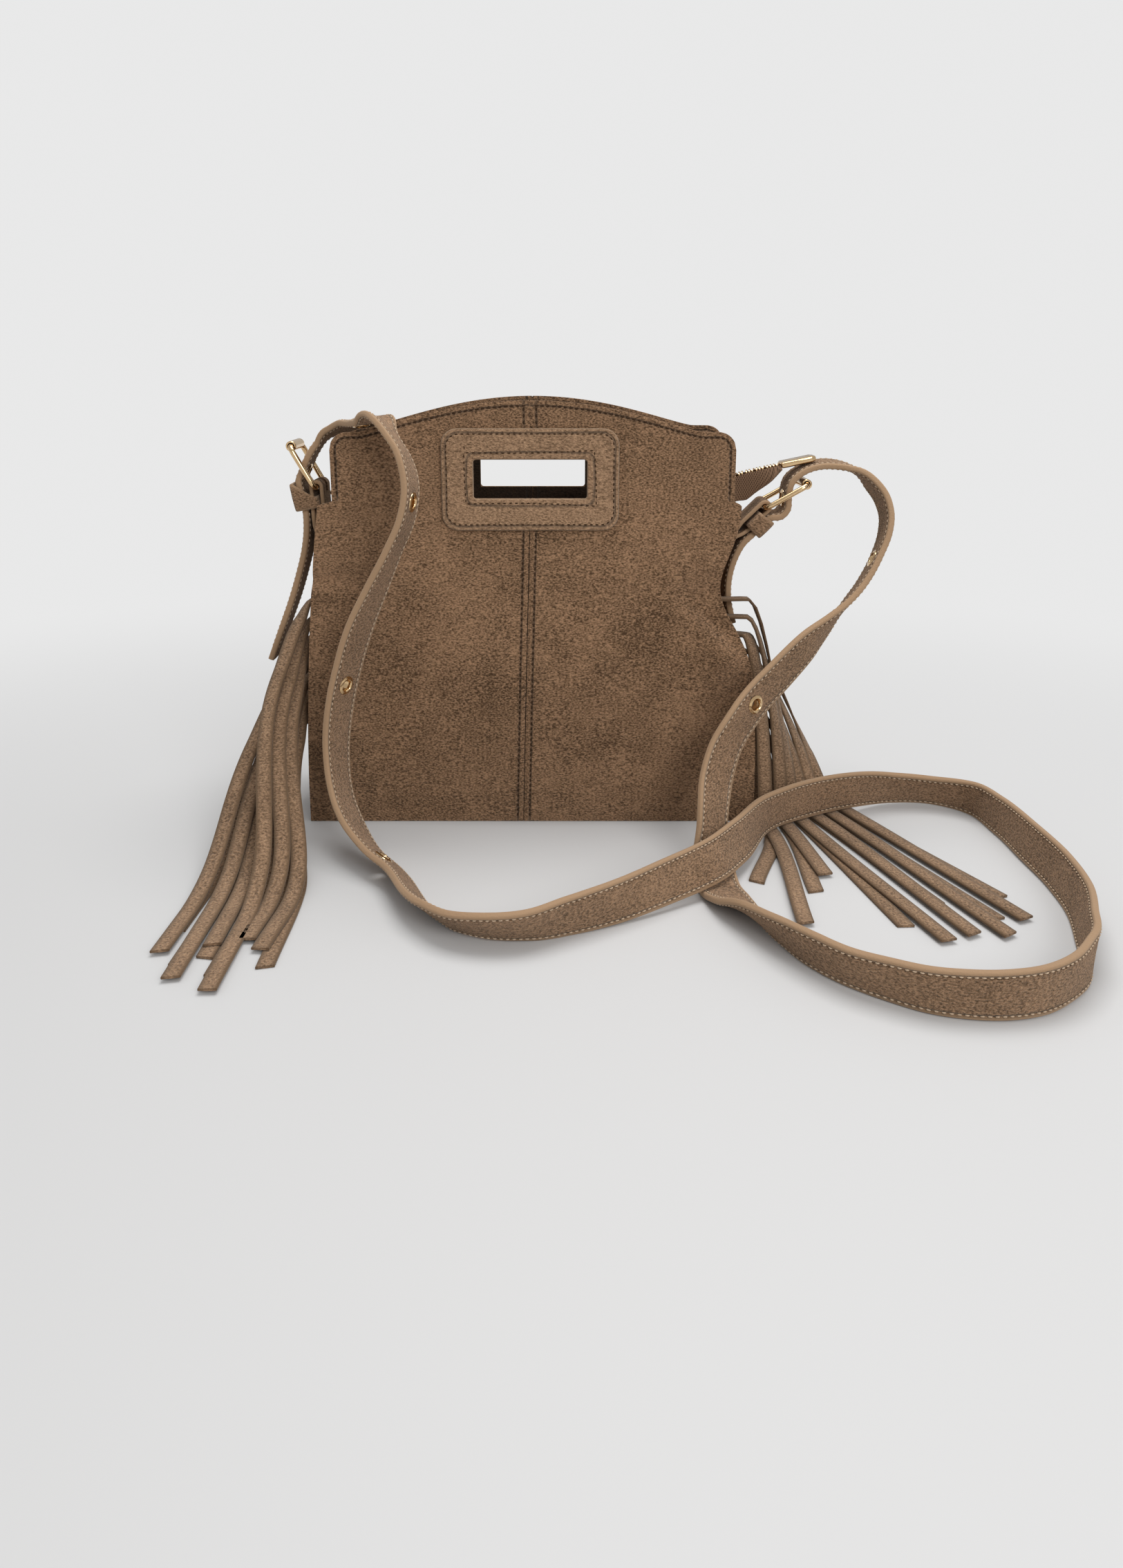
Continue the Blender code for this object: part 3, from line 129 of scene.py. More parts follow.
soft_panel("ceiling_panel", (0.10, 0.12, 1.25), (0.0, 0.0, 0.1), 0.8, 11.0)
soft_panel("right_panel", (0.6, -1.3, 0.9), (0.0, 0.0, 0.1), 0.7, 10.5)

# Suede: napped leather whose short fibres lie this way and that, so that it looks mottled, with a
# pebbled pile under the light, painted shade along the pressed line under each stitch row and paint on cut
# edges.


def math_node(tree, operation, first, second=None, clamp=False):
    """A number made from one or two others, each a socket or a plain value."""
    made = tree.nodes.new("ShaderNodeMath")
    made.operation = operation
    made.use_clamp = clamp
    for socket, value in zip(made.inputs, (first, second)):
        if hasattr(value, "is_linked"):
            tree.links.new(value, socket)
        elif value is not None:
            socket.default_value = value
    return made.outputs["Value"]


def grain(tree, coordinates, scale, detail, rough):
    """Soft noise of one grain size, from 0 to 1."""
    made = tree.nodes.new("ShaderNodeTexNoise")
    set_inputs(made, {"Scale": scale, "Detail": detail, "Roughness": rough})
    tree.links.new(coordinates, made.inputs["Vector"])
    return made.outputs["Fac"]


def own_place(tree):
    return tree.nodes.new("ShaderNodeTexCoord").outputs["Object"]


def mark(tree, name):
    """The number that each point of a piece has under a name, or 0 where it has none."""
    made = tree.nodes.new("ShaderNodeAttribute")
    made.attribute_name = name
    return made.outputs["Fac"]


def raise_surface(tree, shader, height, distance, strength=1.0):
    """Lets a height show in the way the light falls."""
    relief = tree.nodes.new("ShaderNodeBump")
    set_inputs(relief, {"Strength": strength, "Distance": distance})
    tree.links.new(height, relief.inputs["Height"])
    tree.links.new(relief.outputs["Normal"], shader.inputs["Normal"])


def mixed_colour(tree, share, first, second):
    """A colour between two others, each a socket or a plain colour."""
    made = tree.nodes.new("ShaderNodeMix")
    made.data_type = "RGBA"
    tree.links.new(share, made.inputs["Factor"])
    for socket, value in ((made.inputs[6], first), (made.inputs[7], second)):
        if hasattr(value, "is_linked"):
            tree.links.new(value, socket)
        else:
            socket.default_value = (*value, 1.0)
    return made.outputs[2]


def colour_between(tree, shader, share, first, second):
    colour = mixed_colour(tree, share, first, second)
    tree.links.new(colour, shader.inputs["Base Color"])


nap = bpy.data.node_groups.new("suede nap", "ShaderNodeTree")
for name, kind in (("Dark fibres", "NodeSocketColor"), ("Light fibres", "NodeSocketColor"),
                   ("Cloudiness", "NodeSocketFloat"), ("Pile", "NodeSocketFloat")):
    nap.interface.new_socket(name, in_out="INPUT", socket_type=kind)
for name, kind in (("Colour", "NodeSocketColor"), ("Height", "NodeSocketFloat")):
    nap.interface.new_socket(name, in_out="OUTPUT", socket_type=kind)
ends = nap.nodes.new("NodeGroupInput")
out = nap.nodes.new("NodeGroupOutput")
spot = own_place(nap)
cloud = math_node(nap, "SUBTRACT", grain(nap, spot, 17.0, 2.0, 0.5), 0.5)
patchy = math_node(nap, "SUBTRACT", grain(nap, spot, 70.0, 3.0, 0.6), 0.5)
soft = math_node(nap, "ADD", math_node(nap, "MULTIPLY", cloud, 0.50),
                 math_node(nap, "MULTIPLY", patchy, 0.45))
combed = nap.nodes.new("ShaderNodeMapping")
combed.inputs["Scale"].default_value = (0.72, 0.72, 1.25)
nap.links.new(spot, combed.inputs["Vector"])
pile = grain(nap, combed.outputs["Vector"], 1000.0, 2.0, 0.60)
crumb = grain(nap, spot, 2300.0, 2.0, 0.6)
fibres = math_node(nap, "MULTIPLY", math_node(nap, "SUBTRACT", pile, 0.5), ends.outputs["Pile"])
mottle = math_node(nap, "MULTIPLY", soft, ends.outputs["Cloudiness"])
# Adds each point's nap patches; on the body panels these hold painted shade and light in dents and creases.
mottle = math_node(nap, "ADD", mottle, mark(nap, "nap_and_shade"))
share = math_node(nap, "ADD", math_node(nap, "ADD", fibres, mottle), 0.5, clamp=True)
nap.links.new(mixed_colour(nap, share, ends.outputs["Dark fibres"], ends.outputs["Light fibres"]),
              out.inputs["Colour"])
nap.links.new(math_node(nap, "ADD", math_node(nap, "MULTIPLY", pile, 0.7),
                        math_node(nap, "MULTIPLY", crumb, 0.3)), out.inputs["Height"])


def pressed_line(tree, name, distance, width):
    """1 on a line at some distance in millimetres from an edge, fading to 0 at its sides."""
    off = math_node(tree, "ABSOLUTE", math_node(tree, "SUBTRACT", mark(tree, name), distance))
    return math_node(tree, "SUBTRACT", 1.0, math_node(tree, "DIVIDE", off, width), clamp=True)


EDGE_ROW = 3.0
SEAM_ROW = 3.5
SUEDE_ROUGH = 0.95


def make_suede(name, dark, light, cloudiness=1.0, pile_share=2.6, edge=(0.31, 0.195, 0.110),
               edge_rough=0.7):
    """Suede of one colour, with pressed stitch lines and the colour of its edges."""
    made, tree, shader = new_finish(name)
    set_inputs(shader, {"Sheen Weight": 0.22, "Sheen Roughness": 0.45, "Sheen Tint": (0.95, 0.82, 0.68, 1.0),
                        "Specular IOR Level": 0.15})
    group = tree.nodes.new("ShaderNodeGroup")
    group.node_tree = nap
    set_inputs(group, {"Dark fibres": (*dark, 1.0), "Light fibres": (*light, 1.0), "Cloudiness": cloudiness,
                       "Pile": pile_share})
    rim_share = mark(tree, "rim")
    line = math_node(tree, "MAXIMUM", pressed_line(tree, "edge_mm", EDGE_ROW, 0.8),
                     pressed_line(tree, "seam_mm", SEAM_ROW, 0.8))
    # Painted shade: the colour darkens along each stitch line, standing for the shade in its pressed groove.
    shade = math_node(tree, "MULTIPLY", line, 0.20)
    colour = mixed_colour(tree, shade, group.outputs["Colour"], tuple(value * 0.35 for value in dark))
    colour_between(tree, shader, rim_share, colour, edge)
    smoother = math_node(tree, "MULTIPLY", rim_share, SUEDE_ROUGH - edge_rough)
    rough = math_node(tree, "SUBTRACT", SUEDE_ROUGH, smoother)
    tree.links.new(rough, shader.inputs["Roughness"])
    calm = math_node(tree, "SUBTRACT", 1.0, math_node(tree, "MULTIPLY", rim_share, 0.8))
    height = math_node(tree, "MULTIPLY", group.outputs["Height"], calm)
    height = math_node(tree, "SUBTRACT", height, math_node(tree, "MULTIPLY", line, 0.9))
    raise_surface(tree, shader, height, 0.0019)
    return made


body_suede = make_suede("body suede", (0.066, 0.035, 0.016), (0.392, 0.230, 0.129), pile_share=3.0)
# Painted shade: a near-black suede for the inner faces of the raised panels, standing for the shade inside
# the hand slot.
slot_shade_suede = make_suede("suede painted slot shade", (0.012, 0.008, 0.005), (0.050, 0.031, 0.020),
                        pile_share=2.0)

# Body panels: front and back are each two suede halves joined at the middle seam, with half of the
# hand slot cut into each. They lean in, swell a little and are softly dented where the bag has been held.
LEFT, RIGHT, FRONT, BACK = -1, 1, -1, 1
SIDE_WORD = {LEFT: "left", RIGHT: "right"}
FACE_WORD = {FRONT: "front", BACK: "back"}
SUEDE = 0.0016
NOTCH, NOTCH_STEP = 0.187, 0.003
SHOULDER = {LEFT: 0.1125, RIGHT: 0.1155}
SHOULDER_CORNER = 0.010
# The top edge: its height at the shoulders, its rise in the middle, half the span of the arch and how far
# out its slope is taken.
FOOT, RISE, ARCH_HALF, ARCH_REACH = 0.2285, 0.0175, 0.097, 0.096
SLOT_HALF, SLOT_BOTTOM, SLOT_TOP = 0.032, 0.1914, 0.2134


def smooth_step(value):
    value = min(1.0, max(0.0, value))
    return value * value * (3.0 - 2.0 * value)


def bell(distance, spread):
    return math.exp(-(distance / spread) ** 2)


def half_width(side, face, z):
    width = 0.132 - 0.011 * (z / NOTCH) ** 2.2
    if side == RIGHT:
        width -= (1.0 if face == FRONT else 0.6) * 0.017 * bell(z - 0.138, 0.030)
    return width


def outline_half_width(side, face, z):
    if z <= NOTCH:
        return half_width(side, face, z)
    share = smooth_step((z - NOTCH) / NOTCH_STEP)
    return half_width(side, face, NOTCH) * (1 - share) + SHOULDER[side] * share


def top_height(side, x):
    share = min(1.0, x / ARCH_HALF)
    arch = FOOT + RISE * (1 - share ** 2) ** 1.25
    start = SHOULDER[side] - SHOULDER_CORNER
    if x <= start:
        return arch
    inside = min(1.0, (x - start) / SHOULDER_CORNER)
    return FOOT - SHOULDER_CORNER * (1 - math.sqrt(1 - inside ** 2))


def top_slope(side, x):
    x = min(x, ARCH_REACH)
    return (top_height(side, x + 0.0005) - top_height(side, max(0.0, x - 0.0005))) / 0.001


def half_depth(z):
    return 0.040 - 0.011 * smooth_step(z / SLOT_BOTTOM)


def face_y(face, x, z):
    """The outer surface as the frame has it."""
    swell = 0.007 * math.sin(math.pi * min(1.0, z / NOTCH)) * max(0.0, math.cos(math.pi * x / 0.264))
    depth = half_depth(z) + swell
    if face == FRONT:
        depth -= 0.005 * bell(x - 0.104, 0.020) * bell(z - 0.136, 0.014)
        depth += 0.005 * bell(x - 0.112, 0.018) * bell(z - 0.098, 0.016)
        depth -= 0.0025 * bell(x + 0.118, 0.026) * bell(z - 0.143, 0.008)
    return face * depth


def seam_x(z):
    return -0.005 * max(0.0, 1 - z / SLOT_BOTTOM)


def panel_y(face, x, z):
    """The outer surface with the hand's soft waves, the pulled-in middle seam and small creases."""
    calm = 1 - bell(x, 0.06) * bell(z - 0.202, 0.04)
    wave = noise.noise(Vector((x * 21, face * 3.1, z * 17))) * 0.0011
    wave += noise.noise(Vector((x * 55 + 7, face * 2.3, z * 48))) * 0.00045
    seam = abs(x - seam_x(z))
    wave -= 0.0009 * bell(seam, 0.0016)
    wave += 0.00025 * bell(seam - 0.002, 0.0012)
    if face == FRONT:
        wave -= 0.0016 * bell(z - 0.1435 - (x + 0.128) * 0.10, 0.0028) * bell(x + 0.126, 0.020)
        wave += 0.0011 * bell(z - 0.1365 - (x + 0.128) * 0.10, 0.0040) * bell(x + 0.126, 0.022)
        slope = z - 0.121 + (x - 0.105) * 0.85
        wave -= 0.0032 * bell(slope, 0.006) * bell(x - 0.108, 0.016)
        wave += 0.0021 * bell(slope + 0.013, 0.007) * bell(x - 0.098, 0.018)
        wave -= 0.0012 * bell(z - 0.170, 0.012) * bell(x - 0.112, 0.012)
    low = smooth_step(z / 0.012)
    return face_y(face, x, z) + face * wave * calm * low


def link_mesh(name, mesh):
    piece = bpy.data.objects.new(name, mesh)
    bpy.context.scene.collection.objects.link(piece)
    return piece


def keep_lists(name, points, faces, material, body, smooth_angle=None, marks=None):
    """A piece from points and faces, with its numbers for each point, riding on a body of the frame."""
    mesh = bpy.data.meshes.new(name)
    mesh.from_pydata([tuple(point) for point in points], [], faces)
    for label, values in (marks or {}).items():
        mesh.attributes.new(label, "FLOAT", "POINT").data.foreach_set("value", values)
    shape = bmesh.new()
    shape.from_mesh(mesh)
    bmesh.ops.recalc_face_normals(shape, faces=shape.faces[:])
    shape.to_mesh(mesh)
    shape.free()
    mesh.materials.append(material)
    piece = link_mesh(name, mesh)
    shade(piece, smooth_angle)
    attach(piece, body)
    return piece


def choose(piece):
    bpy.ops.object.select_all(action="DESELECT")
    piece.select_set(True)
    bpy.context.view_layer.objects.active = piece


def shade(piece, smooth_angle):
    choose(piece)
    if smooth_angle is None:
        bpy.ops.object.shade_smooth()
    else:
        bpy.ops.object.shade_smooth_by_angle(angle=math.radians(smooth_angle))


def apply_all(piece):
    choose(piece)
    for modifier in list(piece.modifiers):
        bpy.ops.object.modifier_apply(modifier=modifier.name)


def soften_edges(piece, width, segments, angle):
    """Rounds the edges sharper than an angle, after the changes that the piece still waits for."""
    soften = piece.modifiers.new("soft edge", "BEVEL")
    soften.width = width
    soften.segments = segments
    soften.limit_method = "ANGLE"
    soften.angle_limit = math.radians(angle)
    apply_all(piece)


def thicken(piece, thickness, round_edge):
    """Gives a sheet its thickness inwards, with soft cut edges."""
    wall = piece.modifiers.new("wall", "SOLIDIFY")
    wall.thickness = thickness
    wall.offset = -1.0
    wall.use_even_offset = True
    soften_edges(piece, round_edge, 2, 55)


def new_grid(name, wide, tall):
    """A flat grid from -1 to 1 both ways."""
    bpy.ops.object.select_all(action="DESELECT")
    bpy.ops.mesh.primitive_grid_add(x_subdivisions=wide, y_subdivisions=tall, size=2.0)
    piece = bpy.context.object
    piece.name = piece.data.name = name
    return piece


def face_out(shape, piece, out):
    """Turns a sheet's faces to its outer side and gives it to its piece."""
    bmesh.ops.recalc_face_normals(shape, faces=shape.faces[:])
    shape.normal_update()
    if sum(cell.normal.dot(Vector(out)) * cell.calc_area() for cell in shape.faces) < 0:
        bmesh.ops.reverse_faces(shape, faces=shape.faces[:])
    shape.to_mesh(piece.data)
    shape.free()


def bridge_rings(rings, closed=False, base=0):
    """Points and faces of equal rings, numbered from base, with both ends shut unless the rings close."""
    count = len(rings[0])
    faces = []
    for level in range(len(rings) if closed else len(rings) - 1):
        here, there = base + level * count, base + (level + 1) % len(rings) * count
        for index in range(count):
            beside = (index + 1) % count
            faces.append((here + index, here + beside, there + beside, there + index))
    if not closed:
        end = base + len(rings) * count
        faces += [tuple(range(base, base + count)), tuple(range(end - count, end))]
    return [point for ring in rings for point in ring], faces


def spread(stops, counts):
    """Values between stops, with a number of even steps in each gap."""
    values = []
    for start, end, count in zip(stops, stops[1:], counts):
        values.extend(start + (end - start) * step / count for step in range(count))
    return values + [stops[-1]]


def edge_distance(side, x, z):
    """Millimetres from the top edge or the shoulder, measured in the panel."""
    out = SHOULDER[side] - x
    if x > SHOULDER[side] - SHOULDER_CORNER and z > FOOT - SHOULDER_CORNER:
        corner = Vector((x - SHOULDER[side] + SHOULDER_CORNER, z - FOOT + SHOULDER_CORNER))
        return (SHOULDER_CORNER - corner.length) * 1000
    down = (top_height(side, x) - z) / math.sqrt(1 + top_slope(side, x) ** 2)
    if z < NOTCH + NOTCH_STEP:
        return down * 1000
    return min(out, down) * 1000


# Patches where the front is darker or lighter: the nap lying down or standing up, painted shade in the dents,
# the creases, the strap's shadow and along the bottom, painted light on a crease, and a pale scratch:
# place, spread and strength.
NAP_AND_PAINTED_SHADE = (
    (0.068, 0.119, 0.022, 0.020, -0.16), (-0.029, 0.081, 0.020, 0.016, -0.14),
    (0.043, 0.047, 0.028, 0.012, -0.13), (-0.050, 0.050, 0.022, 0.010, -0.10),
    # Painted shade in the right-hand dent and in the strap's shadow.
    (0.104, 0.104, 0.012, 0.022, -0.18), (-0.088, 0.110, 0.016, 0.045, -0.10),
    (0.080, 0.172, 0.024, 0.022, 0.12), (0.083, 0.072, 0.018, 0.014, 0.10),
    # The second of these is painted shade along the bottom.
    (-0.045, 0.135, 0.020, 0.024, 0.07), (0.020, 0.010, 0.080, 0.010, -0.10),
    # The second of these is painted shade at the right-hand dent; the next two are painted shade and painted
    # light
    # on the two sides of the left crease.
    (-0.100, 0.195, 0.010, 0.020, -0.10), (0.118, 0.140, 0.010, 0.014, -0.22),
    (-0.122, 0.134, 0.014, 0.004, -0.22), (-0.116, 0.143, 0.016, 0.004, 0.12),
    (-0.1285, 0.0525, 0.0032, 0.0016, 0.90))


def nap_and_painted_shade(face, x, z):
    if face == BACK:
        x = -x
    return sum(strength * bell(x - middle_x, wide) * bell(z - middle_z, tall)
               for middle_x, middle_z, wide, tall, strength in NAP_AND_PAINTED_SHADE)


def make_panel(side, face):
    """Half of the front or back as one sheet: a grid laid on the surface, with the slot's cells taken out."""
    shoulder = SHOULDER[side]
    columns = spread((0.0, 0.006, SLOT_HALF, ARCH_REACH, shoulder - 0.006, shoulder), (6, 11, 24, 5, 6))
    slot_steps, top_steps = 9, 14
    rows = spread((0.0, 0.018, NOTCH, NOTCH + NOTCH_STEP, SLOT_BOTTOM, SLOT_TOP), (9, 60, 3, 2, slot_steps))
    wide, tall = len(columns) - 1, len(rows) - 1 + top_steps
    piece = new_grid(f"{FACE_WORD[face]}_{SIDE_WORD[side]}_suede", wide, tall)
    shape = bmesh.new()
    shape.from_mesh(piece.data)
    edge_mark, seam_mark, nap_shade_mark = (shape.verts.layers.float.new(label)
                                          for label in ("edge_mm", "seam_mm", "nap_and_shade"))
    slot_rows = (len(rows) - 1 - slot_steps, len(rows) - 1)
    gone = []
    for cell in shape.faces:
        middle = cell.calc_center_median()
        column = (middle.x + 1) / 2 * wide
        row = (middle.y + 1) / 2 * tall
        if columns[int(column) + 1] <= SLOT_HALF + 1e-6 and slot_rows[0] < row < slot_rows[1]:
            gone.append(cell)
    for corner in shape.verts:
        column = round((corner.co.x + 1) / 2 * wide)
        row = round((corner.co.y + 1) / 2 * tall)
        nominal = columns[column]
        if row < len(rows):
            z = rows[row]
            share = nominal / shoulder
            x = nominal + share * (outline_half_width(side, face, z) - shoulder)
            x = seam_x(z) * (1 - share) + side * max(x, 0.00015)
        else:
            x = side * max(nominal, 0.00015)
            up = (row - len(rows) + 1) / top_steps
            z = SLOT_TOP + (top_height(side, nominal) - SLOT_TOP) * up
        corner[edge_mark] = edge_distance(side, abs(x), z)
        corner[seam_mark] = abs(x - seam_x(z)) * 1000
        # The front's nap patches with their painted shade and light, kept on each point.
        corner[nap_shade_mark] = nap_and_painted_shade(face, x, z)
        corner.co = (x, panel_y(face, x, z), z)
    bmesh.ops.delete(shape, geom=gone, context="FACES")
    face_out(shape, piece, (0, face, 0))
    piece.data.materials.append(body_suede)
    thicken(piece, SUEDE, 0.00055)
    # Painted shade: inner faces below part of the panel's height take the near-black suede of the slot's
    # shade.
    piece.data.materials.append(slot_shade_suede)
    for cell in piece.data.polygons:
        facing = SLOT_TOP + 0.65 * (top_height(side, abs(cell.center.x)) - SLOT_TOP)
        if cell.normal.y * face < -0.5 and cell.center.z < facing:
            cell.material_index = 1
    shade(piece, 50)
    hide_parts(f"{FACE_WORD[face]}_panel_{SIDE_WORD[side]}")
    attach(piece, "bag")


def make_seam_tape(face):
    """A narrow tape inside the middle seam above the slot, so that no light comes through it."""
    rings = []
    for z in spread((SLOT_TOP + 0.001, top_height(LEFT, 0.0) - 0.0004), (8,)):
        rings.append([(x, panel_y(face, x, z) - face * depth, z) for x, depth in
                      ((-0.0012, 0.0005), (0.0012, 0.0005), (0.0012, 0.0013), (-0.0012, 0.0013))])
    points, faces = bridge_rings(rings)
    tape = keep_lists(f"{FACE_WORD[face]}_seam_tape", points, faces, body_suede, "bag", smooth_angle=40)


for face in (FRONT, BACK):
    for side in (LEFT, RIGHT):
        make_panel(side, face)
    make_seam_tape(face)

# Handle patches: a rounded frame of the same suede laid round each hand slot, sewn on with two rows of
# stitching, its cut edges painted a light tan.
PATCH_HALF = (0.050, 0.0285)
PATCH_MIDDLE = 0.2022
SLOT_MIDDLE = 0.2024
PATCH_LIFT = 0.0005
PATCH_CORNER, PATCH_ROW = 0.009, 0.0030
# Painted light: the same suede made lighter than the body's, for the brighter light at the top of the bag.
patch_suede_lit = make_suede("patch suede", (0.125, 0.071, 0.037), (0.495, 0.308, 0.182), cloudiness=0.5,
                         pile_share=2.3)


def rounded_ring(half_x, half_z, radius, arc_steps, side_steps, end_steps):
    """Points round a rectangle with round corners, with points along its sides too."""
    ring = []
    corners = ((1, 1, 0), (-1, 1, 90), (-1, -1, 180), (1, -1, 270))
    for number, (sign_x, sign_z, start) in enumerate(corners):
        for step in range(arc_steps + 1):
            turn = math.radians(start + 90 * step / arc_steps)
            ring.append(Vector((sign_x * (half_x - radius) + radius * math.cos(turn),
                                sign_z * (half_z - radius) + radius * math.sin(turn))))
        after = corners[(number + 1) % 4]
        turn = math.radians(after[2])
        end = Vector((after[0] * (half_x - radius) + radius * math.cos(turn),
                      after[1] * (half_z - radius) + radius * math.sin(turn)))
        count = side_steps if number % 2 == 0 else end_steps
        last = ring[-1]
        ring.extend(last.lerp(end, step / count) for step in range(1, count))
    return ring


def make_patch(face):
    """The frame round a slot, as rings from its inner edge to its outer one: share of the way, lift, rim."""
    steps = (5, 26, 10)
    inner = [point + Vector((0, SLOT_MIDDLE)) for point in rounded_ring(SLOT_HALF, 0.011, 0.0018, *steps)]
    outer = [point + Vector((0, PATCH_MIDDLE)) for point in rounded_ring(*PATCH_HALF, PATCH_CORNER, *steps)]
    profile = [(0.0, 0.0, 1), (0.0, 0.0011, 1), (0.012, 0.00155, 0.5), (0.035, 0.0017, 0)]
    profile += [(share, 0.00175 + 0.0001 * math.sin(share * math.pi), 0)
                for share in (0.1, 0.2, 0.3, 0.45, 0.6, 0.75, 0.85, 0.93)]
    profile += [(0.972, 0.0017, 0), (0.992, 0.0015, 0.7), (1.0, 0.0010, 1), (1.0, 0.0, 1)]
    rings, marks = [], {"rim": [], "edge_mm": [], "seam_mm": []}
    for share, lift, rim in profile:
        rings.append([])
        for start, end in zip(inner, outer):
            x, z = start.lerp(end, share)
            rings[-1].append((x, panel_y(face, x, z) + face * (PATCH_LIFT + lift), z))
            gap = (end - start).length * 1000
            marks["rim"].append(rim)
            marks["edge_mm"].append(gap * (1 - share) + 0.4)
            marks["seam_mm"].append(gap * share - 0.7)
    points, faces = bridge_rings(rings, closed=True)
    name = f"{FACE_WORD[face]}_handle_frame"
    piece = keep_lists(name, points, faces, patch_suede_lit, "bag", smooth_angle=50, marks=marks)
    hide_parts(f"{FACE_WORD[face]}_handle_patch")


for face in (FRONT, BACK):
    make_patch(face)

# Stitching: waxed brown thread in single rows, each stitch a short smooth bar that dips into the suede at
# its ends, about three millimetres from one to the next. On the body, patches and tabs the thread is made
# nearly black, as painted shade of the grooves it lies in.
STITCH_PITCH = 0.0032


def bands(tree, spot, direction, scale, distortion=0.0):
    """Even waves that run along one direction, from 0 to 1."""
    made = tree.nodes.new("ShaderNodeTexWave")
    made.bands_direction = direction
    set_inputs(made, {"Scale": scale, "Distortion": distortion})
    tree.links.new(spot, made.inputs["Vector"])
    return made.outputs["Fac"]


def make_thread(name, dark, light):
    made, tree, shader = new_finish(name, 0.85)
    twist = bands(tree, own_place(tree), "X", 900.0, 2.0)
    colour_between(tree, shader, twist, dark, light)
    raise_surface(tree, shader, twist, 0.0001)
    shader.inputs["Specular IOR Level"].default_value = 0.15
    return made


# Painted shade: this thread is nearly black brown, standing for the shade of its stitch grooves.
shade_dark_thread = make_thread("brown thread with painted shade", (0.022, 0.010, 0.004), (0.070, 0.036, 0.017))
tan_thread = make_thread("tan thread", (0.400, 0.280, 0.180), (0.700, 0.540, 0.390))

bpy.ops.object.select_all(action="DESELECT")
bpy.ops.mesh.primitive_uv_sphere_add(segments=6, ring_count=5, radius=1.0,
                                     rotation=(0.0, math.radians(90), 0.0))
bpy.ops.object.transform_apply(rotation=True)
pattern = bpy.context.object
stitch_points = np.array([corner.co[:] for corner in pattern.data.vertices])
stitch_points[:, 2] -= 0.45 * stitch_points[:, 0] ** 2
stitch_faces = [tuple(cell.vertices) for cell in pattern.data.polygons]
bpy.data.objects.remove(pattern, do_unlink=True)


def travelled(line, start=0.0):
    """How far along a line each of its points lies."""
    lengths = [start]
    for before, after in zip(line, line[1:]):
        lengths.append(lengths[-1] + (after - before).length)
    return lengths


def sew(name, rows, half_length=0.0011, half_wide=0.00045, half_tall=0.00030, pitch=STITCH_PITCH,
        thread=shade_dark_thread):
    """Stitches along rows of points, each with its outward direction."""
    picker = random.Random(len(name) * 7 + len(rows))
    points, faces = [], []
    for row in rows:
        lengths = travelled([spot for spot, _ in row])
        count = max(1, int(lengths[-1] / pitch))
        step = lengths[-1] / count
        for number in range(count):
            target = (number + 0.5) * step
            index = max(1, min(len(row) - 1, int(np.searchsorted(lengths, target))))
            share = (target - lengths[index - 1]) / max(1e-9, lengths[index] - lengths[index - 1])
            where = row[index - 1][0].lerp(row[index][0], share)
            up = row[index - 1][1].lerp(row[index][1], share).normalized()
            along = (row[index][0] - row[index - 1][0]).normalized()
            across = up.cross(along).normalized()
            along = (along + across * picker.uniform(-0.09, 0.09)).normalized()
            across = up.cross(along).normalized()
            turn = np.array([along * half_length * picker.uniform(0.92, 1.06), across * half_wide,
                             up * half_tall])
            base = len(points)
            points.extend((stitch_points @ turn + np.array(where + up * half_tall * 0.55)).tolist())
            faces.extend(tuple(corner + base for corner in cell) for cell in stitch_faces)
    piece = keep_lists(name, points, faces, thread, "bag")


def on_panel(face, line, lift=0.0):
    """A line of x and z laid on a panel, with the outward direction at each point."""
    row = []
    for x, z in line:
        here = Vector((x, panel_y(face, x, z), z))
        right = Vector((0.001, panel_y(face, x + 0.001, z) - here.y, 0.0))
        up = Vector((0.0, panel_y(face, x, z + 0.001) - here.y, 0.001))
        outward = right.cross(up).normalized()
        if outward.y * face < 0:
            outward.negate()
        row.append((here + outward * lift, outward))
    return row


